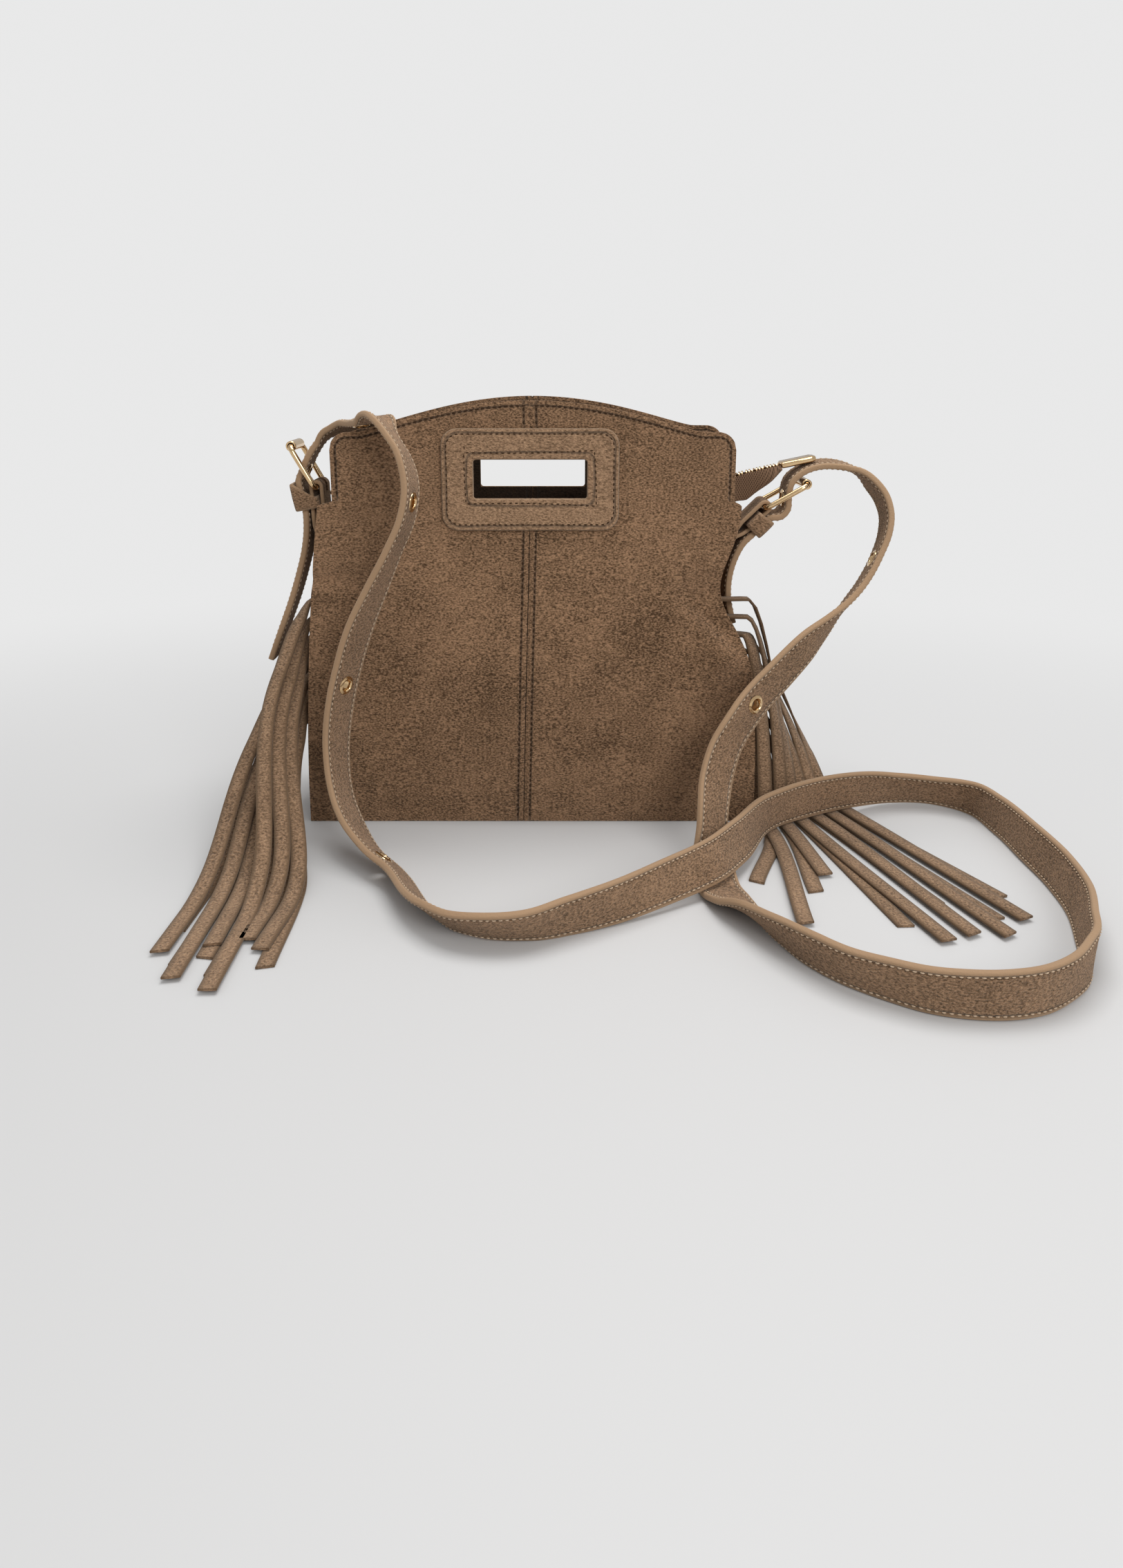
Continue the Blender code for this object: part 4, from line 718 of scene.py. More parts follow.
for face in (FRONT, BACK):
    rows = []
    for side in (LEFT, RIGHT):
        inset = EDGE_ROW / 1000
        reach = SHOULDER[side] - SHOULDER_CORNER
        line = []
        for x in spread((0.002, reach), (59,)):
            line.append((side * x, top_height(side, x) - inset * math.sqrt(1 + top_slope(side, x) ** 2)))
        for step in range(1, 9):
            turn = math.radians(90 - 90 * step / 8)
            line.append((side * (reach + (SHOULDER_CORNER - inset) * math.cos(turn)),
                         FOOT - SHOULDER_CORNER + (SHOULDER_CORNER - inset) * math.sin(turn)))
        line.append((side * (SHOULDER[side] - inset), 0.193))
        rows.append(on_panel(face, line))
        for stops in ((0.003, 0.1725), (0.2320, 0.2430)):
            line = [(seam_x(z) + side * SEAM_ROW / 1000, z) for z in spread(stops, (40,))]
            rows.append(on_panel(face, line))
    sew(f"{FACE_WORD[face]}_panel_stitching", rows)
    ring = rounded_ring(PATCH_HALF[0] - PATCH_ROW, PATCH_HALF[1] - PATCH_ROW, 0.0070, 5, 26, 10)
    ring.append(ring[0])
    rows = [on_panel(face, [(x, z + PATCH_MIDDLE) for x, z in ring], lift=PATCH_LIFT + 0.0016)]
    # The inner row wanders a little, and its upper left corner runs on upwards, as on the real bag.
    corners = [Vector(corner) for corner in ((-0.0368, 0.0205), (-0.0366, 0.0150), (0.0360, 0.0162),
                                             (0.0372, -0.0150), (-0.0362, -0.0138), (-0.0370, 0.0148))]
    for start, end, bow in zip(corners, corners[1:], (0.0, -0.0008, 0.0004, 0.0009, -0.0003)):
        sag = Vector((0, bow) if abs(end.x - start.x) > 0.01 else (bow, 0))
        line = [start.lerp(end, step / 20) + sag * math.sin(math.pi * step / 20) + Vector((0, SLOT_MIDDLE))
                for step in range(21)]
        rows.append(on_panel(face, line, lift=PATCH_LIFT + 0.0016))
    sew(f"{FACE_WORD[face]}_patch_stitching", rows)

# Gussets: the soft suede sides, folded in a little, each with two columns of slits that the laces pass.
LACE_COLUMNS = (-0.0165, 0.010)
FIRST_SLIT = (0.078, 0.058)
SLIT_STEP = (0.0105, 0.0088)
SLIT = (0.012, 0.0095, 0.0023)
FOLD = {LEFT: 0.002, RIGHT: 0.006}
GUSSET_HEIGHT = 0.1848


def gusset_edge_y(side, face, z):
    return face_y(face, side * half_width(side, face, z), z) - face * (SUEDE + 0.0003)


def gusset_out(side, y, z):
    front = gusset_edge_y(side, FRONT, z)
    back = gusset_edge_y(side, BACK, z)
    share = min(1.0, max(0.0, (y - front) / (back - front)))
    edge = half_width(side, FRONT, z) * (1 - share) + half_width(side, BACK, z) * share - 0.0015
    rise = smooth_step(z / 0.030) * smooth_step((0.180 - z) / 0.030)
    return edge - FOLD[side] * math.sin(math.pi * share) * rise


def slit_height(column, row):
    return FIRST_SLIT[column] + row * SLIT_STEP[column]


def cut_away(piece, name, cutters):
    """Takes the space of closed shapes out of a piece."""
    mesh = bpy.data.meshes.new(name)
    cutters.to_mesh(mesh)
    cutters.free()
    space = link_mesh(name, mesh)
    piece.modifiers.new(name, "BOOLEAN").object = space
    apply_all(piece)
    bpy.data.objects.remove(space, do_unlink=True)


def make_gusset(side):
    piece = new_grid(f"{SIDE_WORD[side]}_side_suede", 24, 66)
    for corner in piece.data.vertices:
        share = (corner.co.x + 1) / 2
        z = (corner.co.y + 1) / 2 * GUSSET_HEIGHT
        y = gusset_edge_y(side, FRONT, z) * (1 - share) + gusset_edge_y(side, BACK, z) * share
        ripple = noise.noise(Vector((side * 5.0, y * 45, z * 40))) * 0.0004 * math.sin(math.pi * share)
        corner.co = (side * (gusset_out(side, y, z) + ripple), y, z)
    shape = bmesh.new()
    shape.from_mesh(piece.data)
    face_out(shape, piece, (side, 0, 0))
    piece.data.materials.append(body_suede)
    thicken(piece, SUEDE, 0.0004)
    cutters = bmesh.new()
    for column, y in enumerate(LACE_COLUMNS):
        for row in range(6):
            z = slit_height(column, row)
            place = Matrix.Translation((side * gusset_out(side, y, z), y, z))
            bmesh.ops.create_cube(cutters, size=1.0, matrix=place @ Matrix.Diagonal((*SLIT, 1.0)))
    cut_away(piece, "slits", cutters)
    shade(piece, 50)
    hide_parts(f"{SIDE_WORD[side]}_gusset")
    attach(piece, "bag")


for side in (LEFT, RIGHT):
    make_gusset(side)

# Plain pieces that keep the frame's form: the base, the zip bands and small metal parts get merged
# copies with softened edges.


def finished_copy(node, name, material, body, round_edge, segments=3, angle=30):
    """A copy of a frame piece, its flat faces joined and its edges rounded."""
    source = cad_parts[node]
    mesh = source.data.copy()
    mesh.name = name
    piece = link_mesh(name, mesh)
    piece.matrix_world = source.matrix_world.copy()
    shape = bmesh.new()
    shape.from_mesh(mesh)
    bmesh.ops.remove_doubles(shape, verts=shape.verts[:], dist=1e-6)
    bmesh.ops.dissolve_limit(shape, angle_limit=math.radians(1.0), verts=shape.verts[:], edges=shape.edges[:])
    shape.to_mesh(mesh)
    shape.free()
    mesh.materials.clear()
    mesh.materials.append(material)
    soften_edges(piece, round_edge, segments, angle)
    shade(piece, 35)
    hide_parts(node)
    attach(piece, body)


finished_copy("base_panel", "base_suede", body_suede, "bag", 0.0006)
for word in ("front", "back"):
    finished_copy(f"{word}_zip_band", f"{word}_band_suede", body_suede, "bag", 0.0005)

# Lining: an open bag of thin brown cloth, plainly woven, hanging inside the suede one. Its colour is made
# very dark, as painted shade of the bag's inside.
cloth, tree, shader = new_finish("lining cloth", 0.9)
spot = own_place(tree)
weave = math_node(tree, "MULTIPLY", bands(tree, spot, "X", 420.0), bands(tree, spot, "Z", 420.0))
# Painted shade: both weave colours are near black.
colour_between(tree, shader, weave, (0.024, 0.016, 0.011), (0.062, 0.042, 0.029))
raise_surface(tree, shader, weave, 0.0002)
finished_copy("lining", "lining_bag", cloth, "bag", 0.0002, segments=1)

# Zip: two woven tapes with rows of gold teeth, sewn under the bands. Both ends run on past the bag: the
# left one tucks down beside its buckle, the right one stands up, folded, in a gold end clip.
gold, tree, shader = new_finish("pale gold")
shader.inputs["Metallic"].default_value = 1.0
spot = own_place(tree)
wear = grain(tree, spot, 240.0, 4.0, 0.6)
colour_between(tree, shader, wear, (0.58, 0.385, 0.195), (0.82, 0.600, 0.350))
rub = math_node(tree, "ADD", math_node(tree, "MULTIPLY", grain(tree, spot, 900.0, 3.0, 0.6), 0.14), 0.08)
tree.links.new(rub, shader.inputs["Roughness"])
raise_surface(tree, shader, wear, 0.0001, 0.15)

tape_cloth, tree, shader = new_finish("zip tape", 0.85)
shader.inputs["Specular IOR Level"].default_value = 0.15
spot = own_place(tree)
threads = []
for turn in (34.0, -34.0):
    lean = tree.nodes.new("ShaderNodeMapping")
    lean.inputs["Rotation"].default_value = (0.0, math.radians(turn), math.radians(turn))
    tree.links.new(spot, lean.inputs["Vector"])
    threads.append(bands(tree, lean.outputs["Vector"], "X", 330.0, 0.6))
weave = math_node(tree, "MAXIMUM", *threads)
colour_between(tree, shader, weave, (0.050, 0.027, 0.015), (0.175, 0.102, 0.060))
raise_surface(tree, shader, weave, 0.0003)

BAND_TOP, BAND, GAP, TAPE = 0.1838, 0.0014, 0.0003, 0.0009
CHAIN = BAND_TOP - BAND - GAP * 2 - TAPE / 2
EIGHT_SIDES = ((-1, -0.6), (-0.6, -1), (0.6, -1), (1, -0.6), (1, 0.6), (0.6, 1), (-0.6, 1), (-1, 0.6))
# The zip's route: place, the tapes' fold in degrees and their width.
ZIP_WAY = (
    (-0.1325, 0.0225, 0.1600, 0, 0.0044), (-0.1335, 0.0225, 0.1700, 0, 0.0044),
    (-0.1325, 0.0225, 0.1800, 0, 0.0044), (-0.1285, 0.0236, 0.1862, 0, 0.0044),
    (-0.1225, 0.0240, 0.1886, 0, 0.0044), (-0.1160, 0.0177, 0.1892, 0, 0.0037),
    (-0.1100, 0.0120, 0.1874, 0, 0.0060), (-0.1030, 0.0060, 0.1842, 0, 0.0085),
    (-0.0940, 0.0, CHAIN, 0, 0.0135),
    (-0.0800, 0.0, CHAIN, 0, 0.0135), (0.0795, 0.0, CHAIN, 0, 0.0135), (0.0800, 0.0, CHAIN, 0, 0.0135),
    (0.0930, 0.0, CHAIN + 0.0010, 8, 0.0135),
    (0.1030, 0.0, 0.1895, 45, 0.0135), (0.1130, 0.0, 0.1975, 78, 0.0130), (0.1210, 0.0, 0.2015, 84, 0.0150),
    (0.1310, 0.0, 0.2042, 80, 0.0113), (0.1390, 0.0, 0.2060, 60, 0.0082), (0.1455, 0.0, 0.2074, 25, 0.0048),
)


def smooth_line(points, steps, values=None):
    """A smooth line through the points, or the values that go with them. steps gives the pieces."""
    values = values or points
    gaps = [max(1e-6, (after - before).length) for before, after in zip(points, points[1:])]
    rates = [(after - before) / gap for before, after, gap in zip(values, values[1:], gaps)]
    slopes = [rates[0]]
    for before, after, gap, next_gap in zip(rates, rates[1:], gaps, gaps[1:]):
        slopes.append((before * next_gap + after * gap) / (gap + next_gap))
    slopes.append(rates[-1])
    line = []
    for index, gap in enumerate(gaps):
        start, end = values[index], values[index + 1]
        for step in range(steps[index]):
            t = step / steps[index]
            line.append(start * (2 * t ** 3 - 3 * t ** 2 + 1) + end * (3 * t ** 2 - 2 * t ** 3)
                        + slopes[index] * (gap * (t ** 3 - 2 * t ** 2 + t))
                        + slopes[index + 1] * (gap * (t ** 3 - t ** 2)))
    line.append(values[-1].copy())
    return line


def heading(line, index):
    """The way a line runs at one of its points."""
    return (line[min(len(line) - 1, index + 1)] - line[max(0, index - 1)]).normalized()


def square_to(along, direction):
    """A direction without its part along another."""
    return (direction - along * direction.dot(along)).normalized()


def zip_stations(step_length):
    """Points along the zip with side and up directions, the tapes' fold and their width."""
    route = [Vector(station[:3]) for station in ZIP_WAY]
    extra = [Vector((station[3], station[4] * 1000, 0)) for station in ZIP_WAY]
    steps = [max(2, round((after - before).length / step_length)) for before, after in zip(route, route[1:])]
    line = smooth_line(route, steps)
    folds = smooth_line(route, steps, extra)
    stations = []
    for index, spot in enumerate(line):
        along = heading(line, index)
        side = square_to(along, Vector((0, 1, 0)))
        fold, width = math.radians(folds[index].x), folds[index].y / 1000
        stations.append((spot, along, side, along.cross(side), fold, width))
    return stations


for face in (FRONT, BACK):
    rings = []
    for spot, along, side, up, fold, width in zip_stations(0.003):
        across = side * (face * math.cos(fold)) - up * math.sin(fold)
        lift = up * math.cos(fold) + side * (face * math.sin(fold))
        start = spot + side * (face * 0.00355)
        half = [(0.0001, 0.0003), (0.0006, TAPE / 2)]
        half += [(width * share, TAPE / 2) for share in (0.3, 0.6, 0.93)]
        rings.append([start + across * out - lift * rise for out, rise in half] + [start + across * width]
                     + [start + across * out + lift * rise for out, rise in reversed(half)])
    points, faces = bridge_rings(rings)
    piece = keep_lists(f"{FACE_WORD[face]}_tape", points, faces, tape_cloth, "bag", smooth_angle=60)
    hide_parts(f"{FACE_WORD[face]}_zip_tape")
    stations = zip_stations(0.0009)
    lengths = travelled([station[0] for station in stations])
    points, faces = [], []
    pitch = 0.0021
    for number in range(int(lengths[-1] / pitch)):
        target = (number + (0.25 if face == FRONT else 0.75)) * pitch
        index = min(len(stations) - 1, int(np.searchsorted(lengths, target)))
        spot, along, side, up, _, _ = stations[index]
        rings = []
        for far, half_along, half_up in ((0.0008, 0.00045, 0.0009), (0.0018, 0.00055, 0.0012),
                                         (0.0026, 0.00055, 0.0012), (0.0033, 0.0004, 0.0007)):
            middle = spot + side * (face * far)
            rings.append([middle + along * (half_along * a) + up * (half_up * b) for a, b in EIGHT_SIDES])
        tooth_points, tooth_faces = bridge_rings(rings, base=len(points))
        points += tooth_points
        faces += tooth_faces
    piece = keep_lists(f"{FACE_WORD[face]}_teeth", points, faces, gold, "bag", smooth_angle=30)
    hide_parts(f"{FACE_WORD[face]}_zip_teeth")

finished_copy("zip_end_clip", "end_clip", gold, "bag", 0.0005, angle=20)
finished_copy("zip_slider", "slider_body", gold, "slider", 0.00025, segments=2)
finished_copy("zip_pull", "pull_tag", gold, "pull", 0.0003)

# Buckles: a tab of folded suede at each side holds a round gold wire frame with a roller on its far bar
# and a prong, and a suede keeper loop gathers the strap's tail.
WIRE, FRAME_LENGTH, FRAME_HALF = 0.0016, 0.027, 0.0145
PIVOT = {LEFT: (0.1250, 0.1955), RIGHT: (0.1365, 0.1838)}
FRAME_TURN = {LEFT: math.radians(61.0), RIGHT: math.radians(29.7)}
TAB_TURN = {LEFT: math.radians(-91.5), RIGHT: math.radians(-135.0)}
TAB, TAB_WIDTH, TAB_STRAIGHT = 0.0022, 0.0205, 0.0155
TAB_FOOT = {LEFT: 0.154, RIGHT: 0.160}
KEEPER_WAY = {LEFT: ((0.1350, 0.1984), (0.1319, 0.1824)), RIGHT: ((0.1391, 0.1773), (0.1305, 0.1685))}
KEEPER_ROOM = {LEFT: (0.0073, 0.0034), RIGHT: (0.0049, 0.0023)}
KEEPER_SLANT = {LEFT: 0.0098, RIGHT: 0.0012}
STRAP_WIDTH, STRAP = 0.023, 0.0035
STRAP_ROW = 2.4
strap_suede = make_suede("strap suede", (0.086, 0.048, 0.024), (0.402, 0.244, 0.141), cloudiness=0.7,
                         edge=(0.330, 0.212, 0.124))


def side_point(side, start, way, along, across, y=0.0):
    """A point beside the bag, along and across a way that starts somewhere."""
    return Vector((side * (start[0] + along * way[0] - across * way[1]), y,
                   start[1] + along * way[1] + across * way[0]))


def frame_point(side, along, across):
    turn = FRAME_TURN[side]
    return side_point(side, PIVOT[side], (math.cos(turn), math.sin(turn)), along, -across)


def tab_point(side, along, across):
    turn = TAB_TURN[side]
    return side_point(side, PIVOT[side], (math.cos(turn), math.sin(turn)), along, across)


def keeper_length(side):
    top, low = KEEPER_WAY[side]
    return math.dist(top, low)


def keeper_point(side, along, across, y=0.0):
    top, low = KEEPER_WAY[side]
    return side_point(side, top, (Vector(low) - Vector(top)).normalized(), along, across, y)


def strip_section(width, thickness, round_edge, arc=3, crown=0.00012, sunk=0.0):
    """Across and up values round a flat strip with rounded edges, and how far each point is from an edge."""
    half, lift = width / 2, thickness / 2
    section = []
    for sign_x, sign_z, start in ((1, -1, -90), (1, 1, 0), (-1, 1, 90), (-1, -1, 180)):
        for step in range(arc + 1):
            turn = math.radians(start + 90 * step / arc)
            section.append((sign_x * (half - round_edge) + round_edge * math.cos(turn),
                            sign_z * (lift - round_edge) + round_edge * math.sin(turn), 1.0))
        if sign_x == sign_z:
            flat = ((half - STRAP_ROW / 1000, -sunk), (half - 0.0042, crown * 0.6), (half * 0.3, crown))
            section += [(sign_x * place, sign_z * (lift + rise), 0.0) for place, rise in flat]
            section += [(-sign_x * place, sign_z * (lift + rise), 0.0) for place, rise in reversed(flat)]
    return section


def sweep(name, line, edges, section, material, body, width, row_at=None, end_cuts=(0.0, 0.0)):
    """A flat strip along a line whose front edge points where edges say."""
    rings, rims, edge_marks = [], [], []
    last = len(line) - 1
    for index, spot in enumerate(line):
        before, after = line[max(0, index - 1)], line[min(last, index + 1)]
        if 0 < index < last:
            along = (spot - before).normalized() + (after - spot).normalized()
        else:
            along = after - before
        along.normalize()
        edge = square_to(along, edges[index])
        normal = along.cross(edge)
        slant = end_cuts[0] if index == 0 else end_cuts[1] if index == last else 0.0
        rings.append([spot + edge * a + normal * b + along * (slant * a) for a, b, rim in section])
        rims.extend(rim for a, b, rim in section)
        edge_marks.extend((width / 2 - abs(a)) * 1000 + (EDGE_ROW - row_at if row_at else -50.0)
                          for a, b, rim in section)
    points, faces = bridge_rings(rings)
    return keep_lists(name, points, faces, material, body, smooth_angle=50,
                      marks={"rim": rims, "edge_mm": edge_marks})


def make_tab(side):
    bottom, near, wrap_radius = TAB_FOOT[side], TAB / 2 + 0.0003, WIRE + 0.0003 + TAB / 2
    spine = []
    for share in (1.0, 0.75, 0.5, 0.25, 0.0):
        start = tab_point(side, TAB_STRAIGHT * share, 0.0)
        spine.append((start, tab_point(side, TAB_STRAIGHT * share, 1.0) - start, wrap_radius))
    sewn = []
    sewn_top = min(spine[0][0].z - 0.008, bottom + 0.012)
    for z in (bottom, (bottom + sewn_top) / 2, sewn_top):
        out = gusset_out(side, TAB_WIDTH / 2, z) + 0.0006 + TAB
        sewn.append((Vector((side * out, 0, z)), Vector((side, 0, 0)), near))
    middle = (sewn[-1][0] + spine[0][0]) / 2
    turn = (sewn[-1][1] + spine[0][1].normalized()).normalized()
    stations = sewn + [(Vector((side * 0.0006, 0, 0)) + middle, turn, (near + wrap_radius) / 2)] + spine
    places = [station[0] for station in stations]
    steps = [2] * (len(stations) - 1)
    centres = smooth_line(places, steps)
    normals = smooth_line(places, steps, [station[1].normalized() for station in stations])
    reaches = smooth_line(places, steps, [Vector((station[2], 0, 0)) for station in stations])
    inner = [spot - normal.normalized() * reach.x for spot, normal, reach in zip(centres, normals, reaches)]
    outer = [spot + normal.normalized() * reach.x for spot, normal, reach in zip(centres, normals, reaches)]
    pivot = tab_point(side, 0.0, 0.0)
    back = (tab_point(side, -1.0, 0.0) - pivot).normalized()
    out_way = (tab_point(side, 0.0, 1.0) - pivot).normalized()
    turns = [math.pi * step / 14 for step in range(1, 14)]
    wrap = [pivot + (back * math.sin(turn) - out_way * math.cos(turn)) * wrap_radius for turn in turns]
    line = inner + wrap + list(reversed(outer))
    edges = [Vector((0, -1, 0))] * len(line)
    section = strip_section(TAB_WIDTH, TAB, 0.0008)
    piece = sweep(f"{SIDE_WORD[side]}_tab_suede", line, edges, section, strap_suede, "bag", TAB_WIDTH,
                  row_at=STRAP_ROW)
    reach, below = wrap_radius + TAB, WIRE + 0.0003 + 0.0013 + 0.0003
    block = bmesh.new()
    turn = Matrix((back, Vector((0, 1, 0)), out_way)).transposed().to_4x4()
    room = Matrix.Diagonal((reach + below, 0.0042, reach * 2, 1.0))
    place = Matrix.Translation(pivot + back * ((reach - below) / 2)) @ turn @ room
    bmesh.ops.create_cube(block, size=1.0, matrix=place)
    cut_away(piece, "prong opening", block)
    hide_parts(f"{SIDE_WORD[side]}_tab")
    rows = []
    for sign in (-1, 1):
        aside = Vector((0, sign * (TAB_WIDTH / 2 - STRAP_ROW / 1000), 0))
        row = [(spot + normal.normalized() * (TAB / 2) + aside, normal.normalized())
               for spot, normal in zip(reversed(outer), reversed(normals))]
        rows.append(row[6:])
    sew(f"{SIDE_WORD[side]}_tab_stitching", rows, pitch=0.0031)


def make_keeper(side):
    """A closed suede loop, its corners rounded as it wraps the tab and the strap."""
    inward, outward = KEEPER_ROOM[side]
    half_y, thick = STRAP_WIDTH / 2 + 0.0006, 0.0018
    length, bulge = keeper_length(side), 0.0003
    middle, half_x = (outward - inward) / 2, (outward + inward) / 2
    rings, rims = [], []
    outline = rounded_ring(half_x + thick, half_y + thick, 0.0023, 4, 4, 8)
    inside = rounded_ring(half_x, half_y, 0.0005, 4, 4, 8)
    for far, near in zip(outline, inside):
        start_far = KEEPER_SLANT[side] * (outward + thick - (far.x + middle)) / (outward + inward + 2 * thick)
        start_near = KEEPER_SLANT[side] * (outward - (near.x + middle)) / (outward + inward)
        ring = []
        for point, start, end, rim in (
                (near, start_near + 0.0002, 0, 1), (near.lerp(far, 0.7), start_near, 0, 1),
                (far, start_far + 0.0005, 0, 0.6),
                (far, None, 0.15, 0), (far, None, 0.5, 0), (far, None, 0.85, 0),
                (far, length - 0.0005, 1, 0.6), (near.lerp(far, 0.7), length, 1, 1),
                (near, length - 0.0002, 1, 1)):
            if start is None:
                start = start_far + (length - start_far) * end
                point = point + (far - near).normalized() * (bulge if end == 0.5 else bulge * 0.6)
            ring.append(keeper_point(side, start, point.x + middle, point.y))
            rims.append(rim)
        rings.append(ring)
    points, faces = bridge_rings(rings, closed=True)
    piece = keep_lists(f"{SIDE_WORD[side]}_keeper_loop", points, faces, strap_suede, "bag", smooth_angle=50,
                       marks={"rim": rims})
    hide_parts(f"{SIDE_WORD[side]}_keeper")


def spun(name, profile, steps, matrix, body, node, petals=0):
    """A ring spun about its own axis from a closed outline of radius and height, then put in its place."""
    mesh = bpy.data.meshes.new(name)
    shape = bmesh.new()
    corners = [shape.verts.new((radius, 0.0, height)) for radius, height in profile]
    for first, second in zip(corners, corners[1:] + corners[:1]):
        shape.edges.new((first, second))
    shape.to_mesh(mesh)
    shape.free()
    piece = link_mesh(name, mesh)
    choose(piece)
    bpy.ops.object.mode_set(mode="EDIT")
    bpy.ops.mesh.select_all(action="SELECT")
    bpy.ops.mesh.spin(steps=steps, angle=2 * math.pi, center=(0, 0, 0), axis=(0, 0, 1))
    bpy.ops.mesh.select_all(action="SELECT")
    bpy.ops.mesh.remove_doubles(threshold=0.000002)
    bpy.ops.mesh.normals_make_consistent(inside=False)
    bpy.ops.object.mode_set(mode="OBJECT")
    if petals:
        for corner in mesh.vertices:
            radius = math.hypot(corner.co.x, corner.co.y)
            if corner.co.z < 0 and radius < 0.0042:
                pinch = 1 + 0.06 * math.cos(petals * math.atan2(corner.co.y, corner.co.x))
                corner.co.x *= pinch
                corner.co.y *= pinch
    mesh.transform(matrix)
    mesh.materials.append(gold)
    shade(piece, 40)
    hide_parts(node)
    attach(piece, body)


def mirrored(half):
    """An outline of radius and height from its lower half."""
    return list(half) + [(radius, -height) for radius, height in reversed(half)]


def turned_to(axis, centre):
    """The place of a ring whose own Z axis is to point along axis."""
    return Matrix.Translation(centre) @ axis.to_track_quat("Z", "X").to_matrix().to_4x4()


for side in (LEFT, RIGHT):
    make_tab(side)
    make_keeper(side)
    pivot = frame_point(side, 0.0, 0.0)
    along = (frame_point(side, 1.0, 0.0) - pivot).normalized()
    across = (frame_point(side, 0.0, 1.0) - pivot).normalized()
    outline = rounded_ring(FRAME_LENGTH / 2, FRAME_HALF, 0.0040, 8, 6, 6)
    rings = []
    for index, point in enumerate(outline):
        way = (outline[(index + 1) % len(outline)] - outline[index - 1]).normalized()
        out = along * way.y - Vector((0, 1, 0)) * way.x
        centre = pivot + along * (FRAME_LENGTH / 2 + point.x) + Vector((0, point.y, 0))
        turns = [2 * math.pi * step / 16 for step in range(16)]
        rings.append([centre + (out * math.cos(turn) + across * math.sin(turn)) * WIRE for turn in turns])
    points, faces = bridge_rings(rings, closed=True)
    piece = keep_lists(f"{SIDE_WORD[side]}_wire_frame", points, faces, gold, "bag")
    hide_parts(f"{SIDE_WORD[side]}_buckle_frame")
    bar = frame_point(side, FRAME_LENGTH, 0.0)
    tube = mirrored(((0.0019, -0.0107), (0.0021, -0.0110), (0.0027, -0.0110), (0.0030, -0.0107)))
    spun(f"{SIDE_WORD[side]}_roller_tube_gold", tube, 36, turned_to(Vector((0, 1, 0)), bar),
         f"{SIDE_WORD[side]}_roller_tube", f"{SIDE_WORD[side]}_roller")
    finished_copy(f"{SIDE_WORD[side]}_prong", f"{SIDE_WORD[side]}_prong_gold", gold, "bag", 0.0003,
                  segments=2, angle=40)

